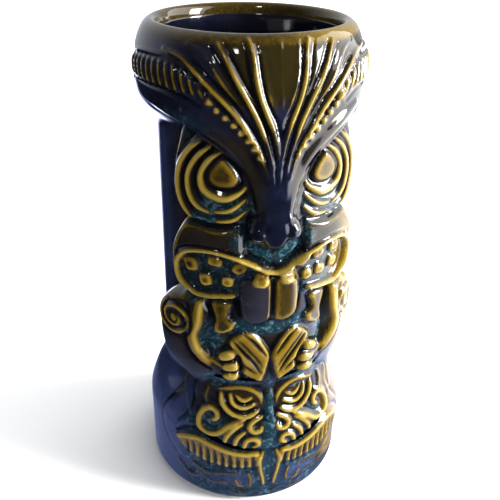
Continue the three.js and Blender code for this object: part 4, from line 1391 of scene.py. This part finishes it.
def sheet_of(name, size, height, material):
    """A level square of paper."""
    bm = bmesh.new()
    bmesh.ops.create_grid(bm, x_segments=1, y_segments=1, size=size)
    bmesh.ops.translate(bm, verts=bm.verts, vec=(0, 0, height))
    sheet = linked(bm, name, material)
    return sheet


def table_glow():
    """What a glossy wall mirrors of the table: bright to the right, blue near the foot, dark in front."""
    mat, n, shader = principled("table_glow")
    n.tree.nodes.remove(shader)
    where = n.add("ShaderNodeTexCoord").outputs["Object"]
    split = n.add("ShaderNodeSeparateXYZ")
    n.join(where, split.inputs[0])
    x, y, _ = split.outputs
    lit = n.math("ADD", n.math("MULTIPLY", x, 0.85), n.math("MULTIPLY", y, 0.5))
    bright = n.span(lit, 0.0, 0.1, 0.0, 3.2)
    length = n.add("ShaderNodeVectorMath", operation="LENGTH")
    n.join(where, length.inputs[0])
    near = n.span(length.outputs["Value"], 0.07, 0.17, 0.4, 0.03)
    colour = n.blend(n.span(lit, 0.0, 0.15), (0.4, 0.5, 1.0, 1.0), (1.0, 0.98, 0.95, 1.0))
    glow = n.add("ShaderNodeEmission")
    n.join(colour, glow.inputs["Color"])
    n.join(n.math("MAXIMUM", bright, near), glow.inputs["Strength"])
    n.join(glow.outputs[0], n.tree.nodes["Material Output"].inputs["Surface"])
    return mat


def floor_paper():
    """Pale paper that whitens with distance, so that the floor has no edge."""
    mat, n, shader = principled("floor_paper")
    shader.inputs["Base Color"].default_value = (0.93, 0.93, 0.93, 1)
    shader.inputs["Roughness"].default_value = 0.9
    shader.inputs["Specular IOR Level"].default_value = 0.1
    shader.inputs["Emission Color"].default_value = (1, 1, 1, 1)
    away = n.add("ShaderNodeVectorMath", operation="LENGTH")
    n.join(n.add("ShaderNodeTexCoord").outputs["Object"], away.inputs[0])
    far = n.span(away.outputs["Value"], 0.25, 1.2)
    lit = n.math("MULTIPLY", far, n.add("ShaderNodeLightPath").outputs["Is Camera Ray"])
    n.join(lit, shader.inputs["Emission Strength"])
    return mat


def studio(strength):
    """The room all round: white to the camera, soft on the mug, and in its reflections brighter behind it."""
    world = bpy.data.worlds.new("studio")
    world.use_nodes = True
    n = Nodes(world.node_tree)
    room = world.node_tree.nodes["Background"]
    room.inputs["Color"].default_value = (0.86, 0.92, 1, 1)
    toward = n.add("ShaderNodeSeparateXYZ")
    n.join(n.add("ShaderNodeTexCoord").outputs["Generated"], toward.inputs[0])
    behind = n.span(toward.outputs["Y"], -0.2, 0.9, strength * 0.2, strength * 4)
    ray = n.add("ShaderNodeLightPath").outputs
    n.join(n.span(ray["Is Glossy Ray"], 0.0, 1.0, strength, behind), room.inputs["Strength"])
    paper_white = n.add("ShaderNodeBackground")
    paper_white.inputs["Color"].default_value = (1, 1, 1, 1)
    mix = n.add("ShaderNodeMixShader")
    n.join(ray["Is Camera Ray"], mix.inputs[0])
    n.join(room.outputs[0], mix.inputs[1])
    n.join(paper_white.outputs[0], mix.inputs[2])
    n.join(mix.outputs[0], world.node_tree.nodes["World Output"].inputs["Surface"])
    return world


CAMERA_ROLL = 0.0142
CAMERA_SHIFT = (0.0078, 0.0313)

# Name, place, aim, size, power, whether it lights the mug and whether the mug mirrors it.
LAMPS = (
    ("window", (0.75, -0.1, 0.36), (0, 0, 0.1), (0.4, 0.6), 18.0, True, False),
    ("gap", (0.68, -0.14, 0.34), (0, 0, 0.1), (0.2, 0.4), 9.0, True, True),
    ("haze", (0.9, 0.1, 0.5), (0, 0, 0.1), (1.3, 1.0), 12.0, False, True),
    ("overhead", (0.45, 0.1, 1.2), (0, 0, 0), (1.2, 1.2), 24.0, True, False),
    ("front", (-0.1, -0.9, 0.6), (0, 0, 0.1), (0.9, 0.6), 1.6, True, False),
    ("pane", (-0.2, -0.75, 0.85), (0, 0, 0.12), (0.09, 0.12), 0.9, True, True),
)


class TIKI_OT_stage(bpy.types.Operator):
    """The pale floor, the soft studio light and the camera"""

    bl_idname = "tiki.stage"
    bl_label = "Stage"
    bl_options = {"REGISTER", "UNDO"}

    def execute(self, context):
        scene = context.scene
        stage = scene.tiki_stage
        scene.view_settings.view_transform = "Standard"
        scene.world = studio(stage.room)
        floor = sheet_of("floor", 6.0, 0.0, floor_paper())
        floor.visible_glossy = False
        glow = sheet_of("table_glow", 2.0, -0.0005, table_glow())
        glow.visible_camera = False
        glow.visible_diffuse = False
        glow.visible_shadow = False
        glow.visible_transmission = False

        turn = Matrix.Rotation(stage.yaw, 4, "Z")
        for name, place, aim, size, power, lights, mirrored in LAMPS:
            lamp = soft_box(name, place, aim, size, power)
            lamp.matrix_world = turn @ lamp.matrix_world
            lamp.visible_diffuse = lights
            lamp.visible_glossy = mirrored

        data = bpy.data.cameras.new("camera")
        data.sensor_width = 36.0
        data.lens = stage.lens
        data.shift_x, data.shift_y = CAMERA_SHIFT
        data.clip_start = 0.01
        camera = bpy.data.objects.new("camera", data)
        camera.matrix_world = (
            turn
            @ Matrix.Translation((0, -stage.distance, stage.rise))
            @ Matrix.Rotation(math.radians(90) - stage.pitch, 4, "X")
            @ Matrix.Rotation(CAMERA_ROLL, 4, "Z")
        )
        scene.collection.objects.link(camera)
        scene.camera = camera
        return {"FINISHED"}


class TIKI_PT_panel(bpy.types.Panel):
    """Lists the mug's operators"""

    bl_label = "Tiki mug"
    bl_idname = "TIKI_PT_panel"
    bl_space_type = "VIEW_3D"
    bl_region_type = "UI"
    bl_category = "Tiki mug"

    def draw(self, context):
        scene = context.scene
        for settings in (scene.tiki_carving, scene.tiki_cup, scene.tiki_glaze, scene.tiki_stage):
            box = self.layout.box()
            for key in settings.bl_rna.properties.keys():
                if key not in ("rna_type", "name"):
                    box.prop(settings, key)
        for operator in OPERATORS:
            self.layout.operator(operator.bl_idname)


OPERATORS = (
    TIKI_OT_stage, TIKI_OT_cup, TIKI_OT_foot_ring, TIKI_OT_headdress, TIKI_OT_eyes, TIKI_OT_nose_and_cheeks,
    TIKI_OT_mouth, TIKI_OT_arms, TIKI_OT_crest, TIKI_OT_lower_head,
)
SETTINGS = {
    "tiki_carving": CarvingSettings, "tiki_cup": CupSettings, "tiki_glaze": GlazeSettings,
    "tiki_stage": StageSettings,
}


def register():
    for cls in (*SETTINGS.values(), *OPERATORS, TIKI_PT_panel):
        bpy.utils.register_class(cls)
    for key, cls in SETTINGS.items():
        setattr(bpy.types.Scene, key, PointerProperty(type=cls))


def unregister():
    for key in SETTINGS:
        delattr(bpy.types.Scene, key)
    for cls in reversed((*SETTINGS.values(), *OPERATORS, TIKI_PT_panel)):
        bpy.utils.unregister_class(cls)


def main():
    register()
    for operator in OPERATORS:
        group, name = operator.bl_idname.split(".")
        getattr(getattr(bpy.ops, group), name)()
    bpy.context.view_layer.update()


if __name__ == "__main__":
    main()
